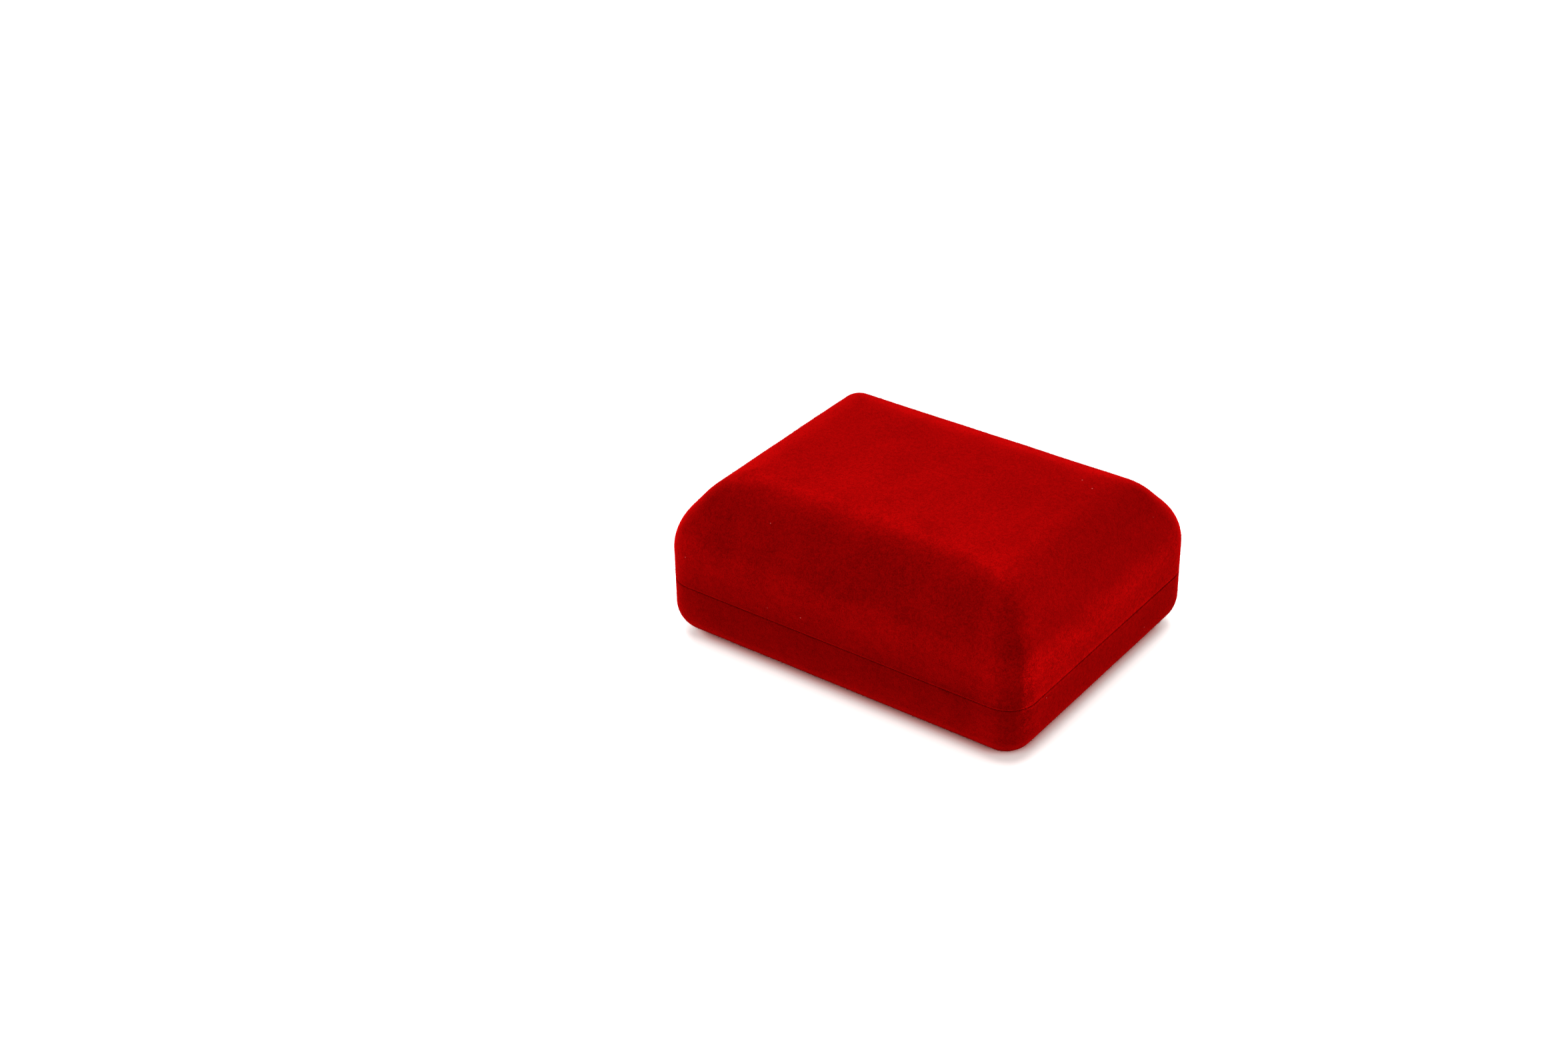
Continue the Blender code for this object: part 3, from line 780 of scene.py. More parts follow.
def drawn_out(bm: Mesh, faces: list[bmesh.types.BMFace], length: float) -> None:
    """Extrudes flat faces along X into a closed form.

    Args:
        bm: The mesh.
        faces: The faces.
        length: How far.
    """
    swept = bmesh.ops.extrude_face_region(bm, geom=faces)["geom"]
    moved = [item for item in swept if isinstance(item, bmesh.types.BMVert)]
    bmesh.ops.translate(bm, verts=moved, vec=(length, 0, 0))
    bmesh.ops.recalc_face_normals(bm, faces=bm.faces)


def block(low: Point, high: Point) -> Mesh:
    """A box between two corners.

    Args:
        low: Its least corner.
        high: Its greatest corner.

    Returns:
        The mesh.
    """
    bm = bmesh.new()
    bmesh.ops.create_cube(bm, size=1.0)
    bmesh.ops.scale(bm, verts=bm.verts, vec=Vector(high) - Vector(low))
    bmesh.ops.translate(bm, verts=bm.verts, vec=(Vector(high) + Vector(low)) / 2)
    return bm


def smooth(made: Object, sharp: float) -> None:
    """Shades a mesh smooth but for edges that turn further than sharp degrees."""
    made.data.shade_smooth()
    made.data.set_sharp_from_angle(angle=math.radians(sharp))


def to_object(name: str, bm: Mesh, sharp: float = 40.0) -> Object:
    """Turns a bmesh into an object at the origin, smooth but for its sharp edges.

    Args:
        name: The object's name.
        bm: The mesh, which is freed.
        sharp: Edges that turn further than this many degrees stay sharp.

    Returns:
        The object.
    """
    bmesh.ops.remove_doubles(bm, verts=bm.verts, dist=MERGE)
    bmesh.ops.recalc_face_normals(bm, faces=bm.faces)
    made = bpy.data.objects.new(name, bpy.data.meshes.new(name))
    bm.to_mesh(made.data)
    bm.free()
    smooth(made, sharp)
    bpy.context.scene.collection.objects.link(made)
    return made


def modify(made: Object, kind: str, **settings: Any) -> bpy.types.Modifier:
    """Adds a modifier and sets it up.

    Args:
        made: The object.
        kind: The modifier's type.
        settings: Its settings.

    Returns:
        The modifier.
    """
    modifier = made.modifiers.new(kind.lower(), kind)
    for name, value in settings.items():
        setattr(modifier, name, value)
    return modifier


def apply_modifiers(made: Object) -> None:
    """Puts an object's modifiers into its mesh.

    Args:
        made: The object.
    """
    mesh = bpy.data.meshes.new_from_object(made.evaluated_get(bpy.context.evaluated_depsgraph_get()))
    old = made.data
    made.modifiers.clear()
    made.data = mesh
    bpy.data.meshes.remove(old)


def carve(made: Object, tools: Iterable[Mesh], boolean: Boolean = Boolean.CUT) -> None:
    """Takes each tool out of an object, or joins it on.

    Args:
        made: The object.
        tools: Closed meshes, which are freed.
        boolean: What they do to it.
    """
    cutters = [to_object("cutter", tool) for tool in tools]
    for cutter in cutters:
        modify(made, "BOOLEAN", operation=boolean.value, solver="EXACT", object=cutter)
    apply_modifiers(made)
    for cutter in cutters:
        bpy.data.meshes.remove(cutter.data)


def displace(made: Object, lift: Callable[[Vector, Vector], float]) -> None:
    """Moves a mesh's points along their normals.

    Args:
        made: The object.
        lift: How far the point at a place, with a normal, moves.
    """
    verts = made.data.vertices
    moves = [vert.co + vert.normal * lift(vert.co, vert.normal) for vert in verts]
    for vert, moved in zip(verts, moves):
        vert.co = moved
    made.data.update()


# The box's form


@dataclass(frozen=True)
class BoxForm:
    """Outside and wall of the closed box, in metres, as the CAD frame has them."""

    length: float = 0.0850
    width: float = 0.0660
    height: float = 0.0361
    seam: float = 0.0127
    seam_gap: float = 0.0003
    corner: float = 0.0062
    foot: float = 0.0069
    bend_height: float = 0.0240
    bend: float = 0.0130
    slope_inset: float = 0.0104
    slope_end_inset: float = 0.0092
    crown: float = 0.0160
    crown_margin: float = 2.1
    lid_corner_share: float = 0.40
    foot_corner_share: float = 0.85
    least_corner: float = 0.0006
    least_half: float = 0.0012
    wall: float = 0.0016
    seat_gap: float = 0.0003
    running_gap: float = 0.0001
    pin_radius: float = 0.0006
    open_angle: float = 100.0
    stop_angle: float = 3.0
    section_steps: int = 16

    @property
    def half_length(self) -> float:
        """Half the length."""
        return self.length / 2

    @property
    def half_width(self) -> float:
        """Half the width."""
        return self.width / 2

    @property
    def lining(self) -> float:
        """How deep under the outside the linings lie."""
        return self.wall + self.seat_gap

    @property
    def pin_y(self) -> float:
        """Where the hinge's axis lies, just inside the back."""
        return self.half_width - self.wall - self.seat_gap + self.pin_radius + self.running_gap

    @property
    def end_share(self) -> float:
        """How much of the long walls' slope the ends take."""
        return self.slope_end_inset / self.slope_inset

    def station(
        self, inset: float, z: float, offset: float = 0.0, end_share: float = 1.0, corner_share: float = 1.0
    ) -> Level:
        """One level of a shell.

        Args:
            inset: How far in from the outside of the long walls it lies.
            z: Its height.
            offset: How deep in the wall the surface lies.
            end_share: How much of the slope the ends take.
            corner_share: How much of the slope the corners sharpen by.

        Returns:
            The level.
        """
        slope = inset - offset
        radius = max(self.corner - offset - corner_share * slope, self.least_corner)
        return Level(self.half_length - offset - end_share * slope, self.half_width - inset, radius, z)

    def lid_path(self, offset: float, steps: int) -> Path:
        """The lid's section as inset and height, from its rim up to its flat crown.

        Args:
            offset: How deep under the outside.
            steps: The steps of its bend. Its crown has the same.

        Returns:
            The section's points.
        """
        lean = math.atan2(self.slope_inset, self.height - self.bend_height)
        drop = offset * math.tan(lean / 2)
        run = offset * math.tan((math.pi / 2 - lean) / 2)
        reach = self.crown * math.tan((math.pi / 2 - lean) / 2)
        corners = [
            (offset, self.seam + self.seam_gap / 2),
            (offset, self.bend_height - drop),
            (self.slope_inset + run, self.height - offset),
            (self.slope_inset + reach * self.crown_margin, self.height - offset),
        ]
        radii = [max(radius - offset, offset) for radius in (self.bend, self.crown)]
        return rounded_path(corners, radii, steps)

    def lid_inset(self, z: float, offset: float) -> float:
        """How far in the lid's section lies at a height.

        Args:
            z: The height.
            offset: How deep under the outside.

        Returns:
            The inset from the outside of the long walls.
        """
        path = self.lid_path(offset, self.section_steps)[:-1]
        for (low_inset, low), (high_inset, high) in zip(path, path[1:]):
            if low <= z <= high and high > low:
                return low_inset + (high_inset - low_inset) * (z - low) / (high - low)
        return path[-1][0]

    def lid_level(self, z: float, offset: float) -> Level:
        """The lid's section at a height, at a depth of offset under its outside."""
        return self.station(self.lid_inset(z, offset), z, offset, self.end_share, self.lid_corner_share)

    def flat(self, level: Level, longest: float) -> list[Level]:
        """Levels from a flat face's edge in to its middle.

        Args:
            level: The edge.
            longest: The widest step.

        Returns:
            The levels, without the edge itself.
        """
        run = level.half_width - self.least_half
        count = max(2, math.ceil(run / longest))
        inner = []
        for step in range(1, count + 1):
            inward = run * step / count
            radius = max(self.least_corner, level.radius * (1 - step / count))
            inner.append(Level(level.half_length - inward, level.half_width - inward, radius, level.z))
        return inner


@dataclass(frozen=True)
class RearCut:
    """What both shells lose at the back for the hinge."""

    form: BoxForm
    notch_half: float = 0.0228
    knuckle_room: float = 0.0015
    past: float = 0.0020

    def tools(self) -> list[Mesh]:
        """The notch for the knuckles and the bevels that let the lid swing.

        Returns:
            The cutters.
        """
        form = self.form
        notch = block(
            (-self.notch_half, form.half_width - form.wall - self.past, form.seam - self.knuckle_room),
            (self.notch_half, form.half_width + self.past, form.seam + self.knuckle_room),
        )
        reach = form.half_width + self.past - form.pin_y
        rise = reach * math.tan(math.radians((form.open_angle + form.stop_angle) / 2))
        corners = [(0, 0), (reach, -rise), (reach, rise)]
        bevel = bmesh.new()
        verts = [bevel.verts.new((-form.length, form.pin_y + y, form.seam + z)) for y, z in corners]
        drawn_out(bevel, [bevel.faces.new(verts)], 2 * form.length)
        return [notch, bevel]


@dataclass(frozen=True)
class HingeRoom:
    """The room that the linings leave behind them for the hinge."""

    form: BoxForm
    half: float = 0.0241
    front: float = 0.0259
    top: float = 0.0192
    past: float = 0.0020

    def tool(self, grow: float, high: float) -> Mesh:
        """The room as a cutter from the floor to a height, grown by a lining's thickness."""
        far = self.form.half_width + self.past
        return block((-self.half - grow, self.front - grow, 0.0), (self.half + grow, far, high))


@dataclass(frozen=True)
class Assembly:
    """A sub-assembly, with the form and the finishes of the box."""

    form: BoxForm
    finishes: Finishes

    def hand_in(self, made: Object, slot: Slot, body: Body | None, *nodes: str) -> Object:
        """Dresses a new piece and gives it its place in the frame.

        Args:
            made: The piece.
            slot: The record's slot of its finish.
            body: The body it rides on, or None where it bends between two.
            nodes: The CAD nodes it stands for.

        Returns:
            The piece.
        """
        self.finishes.dress(made, slot)
        if body is not None:
            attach(made, body.value)
        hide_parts(*nodes)
        log.info("%s: %d faces", made.name, len(made.data.polygons))
        return made


# The flocked shells


@dataclass(frozen=True)
class Fuzz:
    """Loose flock fibres that stand out of a shell's pile, each a thin three-sided spike."""

    form: BoxForm
    spacing: float = 0.00052
    length: Reach = (0.00016, 0.00040)
    thickness: float = 0.000022
    lean: float = 0.75
    seam_room: float = 0.0009
    rear_room: float = 0.0024
    floor_room: float = 0.0008

    def bears(self, face: bmesh.types.BMFace) -> bool:
        """Whether fibres stand on a face: outside, away from the seam, the hinge's bevels and the floor.

        Args:
            face: The face.

        Returns:
            True where they do.
        """
        at = face.calc_center_median()
        room = self.rear_room if at.y > self.form.pin_y - self.form.running_gap else self.seam_room
        faces_out = face.normal.dot(at - Vector((0, 0, self.form.seam))) > 0.0
        clear = abs(at.z - self.form.seam) > room and at.z > self.floor_room
        return faces_out and clear and len(face.verts) == 4

    def grow(self, made: Object, seed: int) -> None:
        """Adds the fibres to a shell's mesh, as many to the area everywhere.

        Args:
            made: The shell.
            seed: What the fibres' places are drawn from.
        """
        draw = random.Random(seed)
        bm = bmesh.new()
        bm.from_mesh(made.data)
        faces = [face for face in bm.faces if self.bears(face)]
        areas = [face.calc_area() for face in faces]
        for face in draw.choices(faces, weights=areas, k=int(sum(areas) / self.spacing**2)):
            first, second, third, fourth = (vert.co for vert in face.verts)
            along, across = draw.random(), draw.random()
            root = first.lerp(second, along).lerp(fourth.lerp(third, along), across)
            self.spike(bm, root, face.normal, draw)
        bm.to_mesh(made.data)
        bm.free()

    def spike(self, bm: Mesh, root: Vector, normal: Vector, draw: random.Random) -> None:
        """One fibre.

        Args:
            bm: The mesh it goes into.
            root: Where it stands.
            normal: The way the shell faces there.
            draw: Where its length and lean come from.
        """
        loose = Vector((draw.gauss(0, 1), draw.gauss(0, 1), draw.gauss(0, 1))).normalized() * self.lean
        along = (normal + loose).normalized()
        tip = root + along * draw.uniform(*self.length)
        side = along.orthogonal().normalized() * self.thickness
        other = along.cross(side)
        sunk = root - normal * self.thickness
        foot = [side, other * 0.866 - side * 0.5, -other * 0.866 - side * 0.5]
        ring = [bm.verts.new(sunk + place) for place in foot]
        point = bm.verts.new(tip)
        bm.faces.new(ring[::-1])
        for start, end in zip(ring, ring[1:] + ring[:1]):
            bm.faces.new((start, end, point)).smooth = True


@dataclass(frozen=True)
class Shells(Assembly):
    """The two flocked mouldings."""

    step: float = 0.0016
    outer_flat_step: float = 0.003
    inner_flat_step: float = 0.004
    round_steps: int = 12
    rim_steps: int = 5
    rim_round: float = 0.00036
    pile_gap: float = 0.00003
    unevenness: float = 0.00007
    swelling: float = 0.0110
    even_room: float = 0.004

    def rim(self, z: float, inward: int) -> list[Level]:
        """The rounded rim of a shell, from its outside in.

        Args:
            z: The rim's height.
            inward: +1 where the rim faces up, -1 where it faces down.

        Returns:
            Its levels.
        """
        radius, middle = self.rim_round, z - inward * self.rim_round
        turn = -inward * math.pi / 2
        path = arc((radius, middle), radius, math.pi, turn, self.rim_steps)
        path += arc((self.form.wall - radius, middle), radius, -turn, turn, self.rim_steps)
        return [self.form.station(inset, height, offset=inset) for inset, height in path]

    def lift(self, at: Vector, _: Vector) -> float:
        """How far the pile swells at a place: not at all at the seam or under the foot.

        Args:
            at: The place.

        Returns:
            The distance.
        """
        from_seam = min(1.0, abs(at.z - self.form.seam) / self.even_room)
        from_floor = min(1.0, max(0.0, at.z) / self.even_room)
        return noise.noise(at / self.swelling) * self.unevenness * (from_seam * from_floor)

    def shell(
        self, name: str, outside: Path, inside: Path, rim: list[Level], share: dict[str, float]
    ) -> Object:
        """A hollow shell, cut out for the hinge.

        Args:
            name: Its name.
            outside: Its outer section, up to the rim.
            inside: Its inner section, from the rim on.
            rim: The rim's levels.
            share: How the ends and corners take the slope.

        Returns:
            The shell's object.
        """
        form = self.form
        outer = [form.station(inset, z, **share) for inset, z in outside]
        inner = [form.station(inset, z, form.wall, **share) for inset, z in inside]
        first = form.flat(outer[0], self.outer_flat_step)[::-1]
        last = form.flat(inner[-1], self.inner_flat_step)
        made = to_object(name, sweep(first + outer + rim + inner + last, RingCount()))
        displace(made, self.lift)
        carve(made, RearCut(form).tools())
        return made

    def base(self) -> Object:
        """The tray: rounded foot, upright wall and rounded rim, hollow to its floor.

        Returns:
            The tray's object.
        """
        form = self.form
        centre = (form.foot, form.foot)
        foot = arc(centre, form.foot, -math.pi / 2, -math.pi / 2, self.round_steps)
        well = arc(centre, form.foot - form.wall, math.pi, math.pi / 2, self.round_steps)
        top = form.seam - self.pile_gap / 2
        wall_top = top - self.rim_round
        outside = foot + divided([foot[-1], (0.0, wall_top)], self.step)[1:-1]
        inside = divided([(form.wall, wall_top), well[0]], self.step)[1:] + well[1:]
        share = {"corner_share": form.foot_corner_share}
        return self.shell("tray_flock", outside, inside, self.rim(top, 1), share)

    def lid(self) -> Object:
        """The lid: upright wall, sloped shoulders and flat crown, hollow from below.

        Returns:
            The lid's object.
        """
        form = self.form
        low = form.seam + self.pile_gap / 2
        sections = []
        for depth in (0.0, form.wall):
            path = form.lid_path(depth, self.round_steps)
            sections.append(divided([(depth, low + self.rim_round)] + path[1:], self.step)[1:])
        share = {"end_share": form.end_share, "corner_share": form.lid_corner_share}
        return self.shell("lid_flock", sections[0][::-1], sections[1], self.rim(low, -1), share)

    def build(self) -> None:
        """Makes both shells and puts them in the place of the CAD's."""
        shells = ((self.base(), Body.BASE, "base_shell"), (self.lid(), Body.LID, "lid_shell"))
        for seed, (made, body, node) in enumerate(shells):
            Fuzz(self.form).grow(made, seed)
            self.hand_in(made, Slot.FLOCK, body, node)


# The linings


@dataclass(frozen=True)
class Inflation:
    """How a padded form is blown up as cloth. The solver is steadier on a form ten times as large."""

    pressure: float
    cap: float
    voxel: float = 0.0
    smoothing: int = 2
    frames: int = 20
    magnify: float = 10.0
    soft_from: float = 0.3

    def run(self, made: Object, free: Callable[[Vector], float]) -> None:
        """Blows a closed form up and puts the result into its mesh.

        Args:
            made: The form.
            free: How free a place is to move, from 0 to 1.
        """
        made.data.transform(Matrix.Scale(self.magnify, 4))
        if self.voxel:
            modify(made, "REMESH", mode="VOXEL", voxel_size=self.voxel * self.magnify, use_smooth_shade=True)
            apply_modifiers(made)
        rest = [vert.co.copy() for vert in made.data.vertices]
        held = made.vertex_groups.new(name="held")
        for vert in made.data.vertices:
            held.add([vert.index], 1.0 - free(vert.co / self.magnify), "REPLACE")
        self.blow(made)
        made.vertex_groups.clear()
        reach = self.cap * self.magnify
        for vert, start in zip(made.data.vertices, rest):
            step = vert.co - start
            if step.length > reach:
                step = step.normalized() * reach
            vert.co = start + step
        bm = bmesh.new()
        bm.from_mesh(made.data)
        every_way = {f"use_axis_{axis}": True for axis in "xyz"}
        for _ in range(self.smoothing):
            soft = [vert for vert in bm.verts if self.voxel or free(vert.co / self.magnify) > self.soft_from]
            bmesh.ops.smooth_vert(bm, verts=soft, factor=0.5, **every_way)
        bmesh.ops.scale(bm, verts=bm.verts, vec=(1 / self.magnify,) * 3)
        bm.to_mesh(made.data)
        bm.free()
        made.data.shade_smooth()

    def blow(self, made: Object) -> None:
        """Runs the cloth, with its vertex group held, and applies it.

        Args:
            made: The magnified form.
        """
        cloth = modify(made, "CLOTH")
        values = {
            "quality": 6,
            "mass": 0.3,
            "tension_stiffness": 12.0,
            "compression_stiffness": 12.0,
            "shear_stiffness": 5.0,
            "bending_stiffness": 0.4,
            "use_pressure": True,
            "uniform_pressure_force": self.pressure,
            "vertex_group_mass": "held",
        }
        for name, value in values.items():
            setattr(cloth.settings, name, value)
        cloth.settings.effector_weights.gravity = 0.0
        cloth.collision_settings.use_collision = False
        cloth.point_cache.frame_start = 1
        cloth.point_cache.frame_end = self.frames
        for step in range(1, self.frames + 1):
            bpy.context.scene.frame_set(step)
        apply_modifiers(made)
        bpy.context.scene.frame_set(1)


@dataclass(frozen=True)
class Lining(Assembly):
    """What both linings share: the hinge's room, the collar's lip, and the last ring of a face."""

    room: HingeRoom
    collar_lip: float = 0.0025
    face_share: float = 0.96


@dataclass(frozen=True)
class TrayLining(Lining):
    """The velvet-covered card collar and the cushioned insert with its two slots."""

    collar_thickness: float = 0.0010
    collar_step: float = 0.0011
    lip_steps: int = 8
    cover_low: float = 0.0034
    cover_top: float = 0.0100
    cover_skin: float = 0.0008
    cover_crown: float = 0.0003
    foam_crown: float = 0.0002
    edge_round: float = 0.0015
    edge_step: float = 0.0012
    face_rings: int = 12
    free_from: float = 0.0022
    free_to: float = 0.0006
    slot_width: float = 0.0050
    slot_length: float = 0.0200
    slot_spacing: float = 0.0340
    slot_radius: float = 0.0020
    slot_y: float = -0.00195

    @property
    def collar_inner(self) -> float:
        """The collar's inner face, in from the outside of the walls."""
        return self.form.lining + self.collar_thickness

    def collar(self) -> Object:
        """The collar: card wrapped in velvet, whose lip stands up into the lid.

        Returns:
            The collar's object.
        """
        form = self.form
        outer, inner, half = form.lining, self.collar_inner, self.collar_thickness / 2
        low, high = form.foot + form.seat_gap, form.seam + self.collar_lip
        path = divided([(outer, low), (outer, high - half)], self.collar_step)
        path += arc((outer + half, high - half), half, math.pi, -math.pi, self.lip_steps)[1:-1]
        path += divided([(inner, high - half), (inner, low)], self.collar_step)
        levels = [form.station(inset, z, offset=inset) for inset, z in path]
        made = to_object("collar_velvet", sweep(levels, RingCount(), closed=True), sharp=60)
        carve(made, [self.room.tool(0.0, form.height)])
        return made

    def slot_tool(self, x: float, grow: float) -> Mesh:
        """One slot as a cutter, grown by its lining's thickness, down to the velvet at its bottom.

        Args:
            x: Where its middle lies.
            grow: How far it is grown.

        Returns:
            The cutter.
        """
        half = (self.slot_width / 2 + grow, self.slot_length / 2 + grow, self.slot_radius + grow)
        bottom = self.cover_low + self.cover_skin - grow
        tool = sweep([Level(*half, bottom), Level(*half, self.form.height)], RingCount(6, 2, 8))
        bmesh.ops.translate(tool, verts=tool.verts, vec=(x, self.slot_y, 0))
        return tool

    def insert(self, name: str, deep: float, edge: float, crown: float, count: RingCount) -> Object:
        """The insert or its foam: upright sides, a rounded edge, a swelling top, and both slots.

        Args:
            name: Its name.
            deep: How deep under the velvet's face it lies.
            edge: The radius of its edge.
            crown: How much higher its middle is.
            count: How finely it is divided.

        Returns:
            Its object.
        """
        form = self.form
        inset, top = self.collar_inner + form.seat_gap + deep, self.cover_top - deep
        corners = [(inset, self.cover_low), (inset, top), (inset + 3 * edge, top)]
        path = divided(rounded_path(corners, [edge], 6)[:-1], self.edge_step)
        start = path[-1][0]
        for ring in range(1, self.face_rings + 1):
            share = self.face_share * ring / self.face_rings
            path.append((start + share * (form.half_width - start), top + crown * (1 - (1 - share) ** 2)))
        made = to_object(name, sweep([form.station(at, z, offset=inset) for at, z in path], count))
        slots = [self.slot_tool(side * self.slot_spacing / 2, deep) for side in (-1, 1)]
        carve(made, [self.room.tool(deep, form.height)] + slots)
        return made

    def cushion(self) -> Object:
        """The velvet cushion, drawn down at its sides, its slots and the hinge's room.

        Returns:
            The cushion's object.
        """
        made = self.insert("insert_cushion", 0.0, self.edge_round, self.cover_crown, RingCount(8, 30, 24))

        def free(at: Vector) -> float:
            """Only the top may swell."""
            return eased(at.z, self.cover_top - self.free_from, self.cover_top - self.free_to)

        Inflation(pressure=5.0, cap=0.0011, voxel=0.00075).run(made, free)
        return made

    def sponge(self) -> Object:
        """The foam inside the cushion."""
        deep = self.cover_skin + self.form.seat_gap
        return self.insert("insert_sponge", deep, self.edge_round / 2, self.foam_crown, RingCount(6, 24, 20))

    def build(self) -> None:
        """Makes the collar, the cushion and its foam."""
        self.hand_in(self.collar(), Slot.LINING, Body.BASE, "base_collar")
        cushion = self.hand_in(self.cushion(), Slot.LINING, Body.BASE, "insert_cover")
        sponge = self.hand_in(self.sponge(), Slot.FOAM, Body.BASE, "insert_foam")


@dataclass(frozen=True)
class LidLining(Lining):
    """The satin cushion under the lid's ceiling and the satin skirt round its walls."""

    cushion_skin: float = 0.0006
    cushion_crown: float = 0.0014
    foam_crown_share: float = 0.8
    roll: float = 5.0
    ring_spread: float = 1.5
    board_thickness: float = 0.0012
    foam_thickness: float = 0.0040
    skirt_thickness: float = 0.0008
    skirt_step: float = 0.0009
    fold_steps: int = 6
    soft_joint: float = 0.00003
    edge_drawn: float = 0.00045
    free_band: Reach = (-0.0002, 0.0006)
    side_steps: int = 12
    pucker_depth: float = 0.00045
    puckers_along: int = 23
    puckers_across: int = 17
    pucker_reach: float = 0.0030
    pucker_wander: float = 0.006
    corner_reach: float = 0.010
    crease: float = 0.0011
    sag: float = 0.00012
    sag_size: float = 0.011
    ripple: float = 0.00022
    ripple_width: float = 0.0045
    ripple_height: float = 0.020

    @property
    def cushion_top(self) -> float:
        """The cushion's back, under the lid's ceiling."""
        return self.form.height - self.form.wall - self.form.seat_gap

    @property
    def foam_high(self) -> float:
        """The foam's back, under the card."""
        return self.cushion_top - self.cushion_skin - self.board_thickness - 2 * self.form.seat_gap

    @property
    def cushion_low(self) -> float:
        """The edge of the cushion's face."""
        return self.foam_high - self.foam_thickness - self.form.seat_gap - self.cushion_skin

    @property
    def skirt_low(self) -> float:
        """The skirt's lower edge, over the collar's lip."""
        return self.form.seam + self.collar_lip + self.form.seat_gap

    @property
    def skirt_high(self) -> float:
        """The skirt's upper edge, which the cushion rests on."""
        return self.cushion_low - self.soft_joint

    def half_length(self, inset: float, deep: float) -> float:
        """Half the length of the lid's section at an inset and a depth."""
        return self.form.half_length - deep - self.form.end_share * (inset - deep)

    def pad(
        self, name: str, heights: Reach, deep: float, crown: float, rings: int, step: float, count: RingCount
    ) -> Object:
        """The pad or its foam: a face that swells down to its middle, sides up the lid, a flat back.

        Args:
            name: Its name.
            heights: The heights of its face's edge and its back.
            deep: How deep under the lid's outside it lies.
            crown: How far its face swells.
            rings: How many levels the face has.
            step: The widest step of the back.
            count: How finely it is divided.

        Returns:
            Its object.
        """
        form = self.form
        low, high = heights
        edge = form.lid_inset(low, deep)
        levels = []
        for ring in range(rings, -1, -1):
            share = self.face_share * (ring / rings) ** self.ring_spread
            inward = share * (form.half_width - edge)
            inset = edge + inward
            radius = max(form.corner - deep - form.lid_corner_share * (inset - deep), form.least_corner)
            z = low - crown * (1 - (1 - share) ** self.roll)
            levels.append(Level(self.half_length(edge, deep) - inward, form.half_width - inset, radius, z))
        sides = [z for _, z in form.lid_path(deep, self.side_steps)[1:-2] if low < z < high]
        levels += [form.lid_level(z, deep) for z in sides + [high]]
        levels += form.flat(levels[-1], step)
        return to_object(name, sweep(levels, count))

    def cushion(self) -> Object:
        """The satin cushion: a full face, drawn in at its edge, and sides that go up to the ceiling.

        Returns:
            The cushion's object.
        """
        low = self.cushion_low - self.edge_drawn
        heights, deep, count = (low, self.cushion_top), self.form.lining, RingCount(10, 48, 36)
        made = self.pad("lid_cushion", heights, deep, self.cushion_crown, rings=14, step=0.004, count=count)

        def free(at: Vector) -> float:
            """Only the face may swell, and least at its edge."""
            return 1.0 - eased(at.z, low + self.free_band[0], low + self.free_band[1])

        Inflation(pressure=4.0, cap=0.0012, smoothing=1).run(made, free)
        self.pucker(made)
        return made

    def pucker(self, made: Object) -> None:
        """Draws the face up in small puckers where the satin is turned over its edge.

        Args:
            made: The cushion.
        """
        deep = self.form.lining
        edge_inset = self.form.lid_inset(self.cushion_low, deep)
        half_width = self.form.half_width - edge_inset
        half_length = self.half_length(edge_inset, deep)
        clear_from, clear_to = self.skirt_thickness * 0.6, self.skirt_thickness * 2.2
        for vert in made.data.vertices:
            at = vert.co
            if at.z > self.cushion_low + 0.0002:
                continue
            from_end, from_side = half_length - abs(at.x), half_width - abs(at.y)
            wander = noise.noise(at / self.pucker_wander) * 2.6
            pulls = []
            for turn, distance in (
                (at.x / half_length * self.puckers_along, from_side),
                (at.y / half_width * self.puckers_across, from_end),
            ):
                wave = 0.5 + 0.5 * math.sin(turn * math.pi + wander)
                pulls.append(math.exp(-distance / self.pucker_reach) * wave)
            corner = math.exp(-math.hypot(from_end, from_side) / self.corner_reach)
            crease = corner * math.sin((from_end - from_side) / self.crease + wander)
            clear = eased(min(from_end, from_side), clear_from, clear_to)
            drawn = self.pucker_depth * (max(pulls) * 1.2 + 0.8 * crease)
            at.z += clear * (drawn + self.sag * noise.noise(at / self.sag_size))
        made.data.update()

    def sponge(self) -> Object:
        """The foam inside the cushion.

        Returns:
            The foam's object.
        """
        deep = self.form.lining + self.form.seat_gap + self.cushion_skin
        heights = (self.foam_high - self.foam_thickness, self.foam_high)
        crown, count = self.cushion_crown * self.foam_crown_share, RingCount(6, 24, 20)
        return self.pad("lid_sponge", heights, deep, crown, rings=8, step=0.005, count=count)

    def skirt(self) -> Object:
        """The skirt: card wrapped in satin, with soft folded edges.

        Returns:
            The skirt's object.
        """
        form = self.form
        outer, fold = form.lining, self.skirt_thickness / 2
        inner = outer + self.skirt_thickness
        low, high = self.skirt_low + fold, self.skirt_high - fold
        heights = [z for _, z in divided([(0.0, low), (0.0, high)], self.skirt_step)]
        path = [(z, outer) for z in heights]
        turns = [math.pi * step / self.fold_steps for step in range(1, self.fold_steps)]
        path += [(high + fold * math.sin(turn), outer + fold * (1 - math.cos(turn))) for turn in turns]
        path += [(z, inner) for z in heights[::-1]]
        path += [(low - fold * math.sin(turn), inner - fold * (1 - math.cos(turn))) for turn in turns]
        levels = [form.lid_level(z, depth) for z, depth in path]
        made = to_object("skirt_satin", sweep(levels, RingCount(), closed=True), sharp=60)
        displace(made, self.skirt_lift)
        carve(made, [self.room.tool(0.0, self.room.top)])
        return made

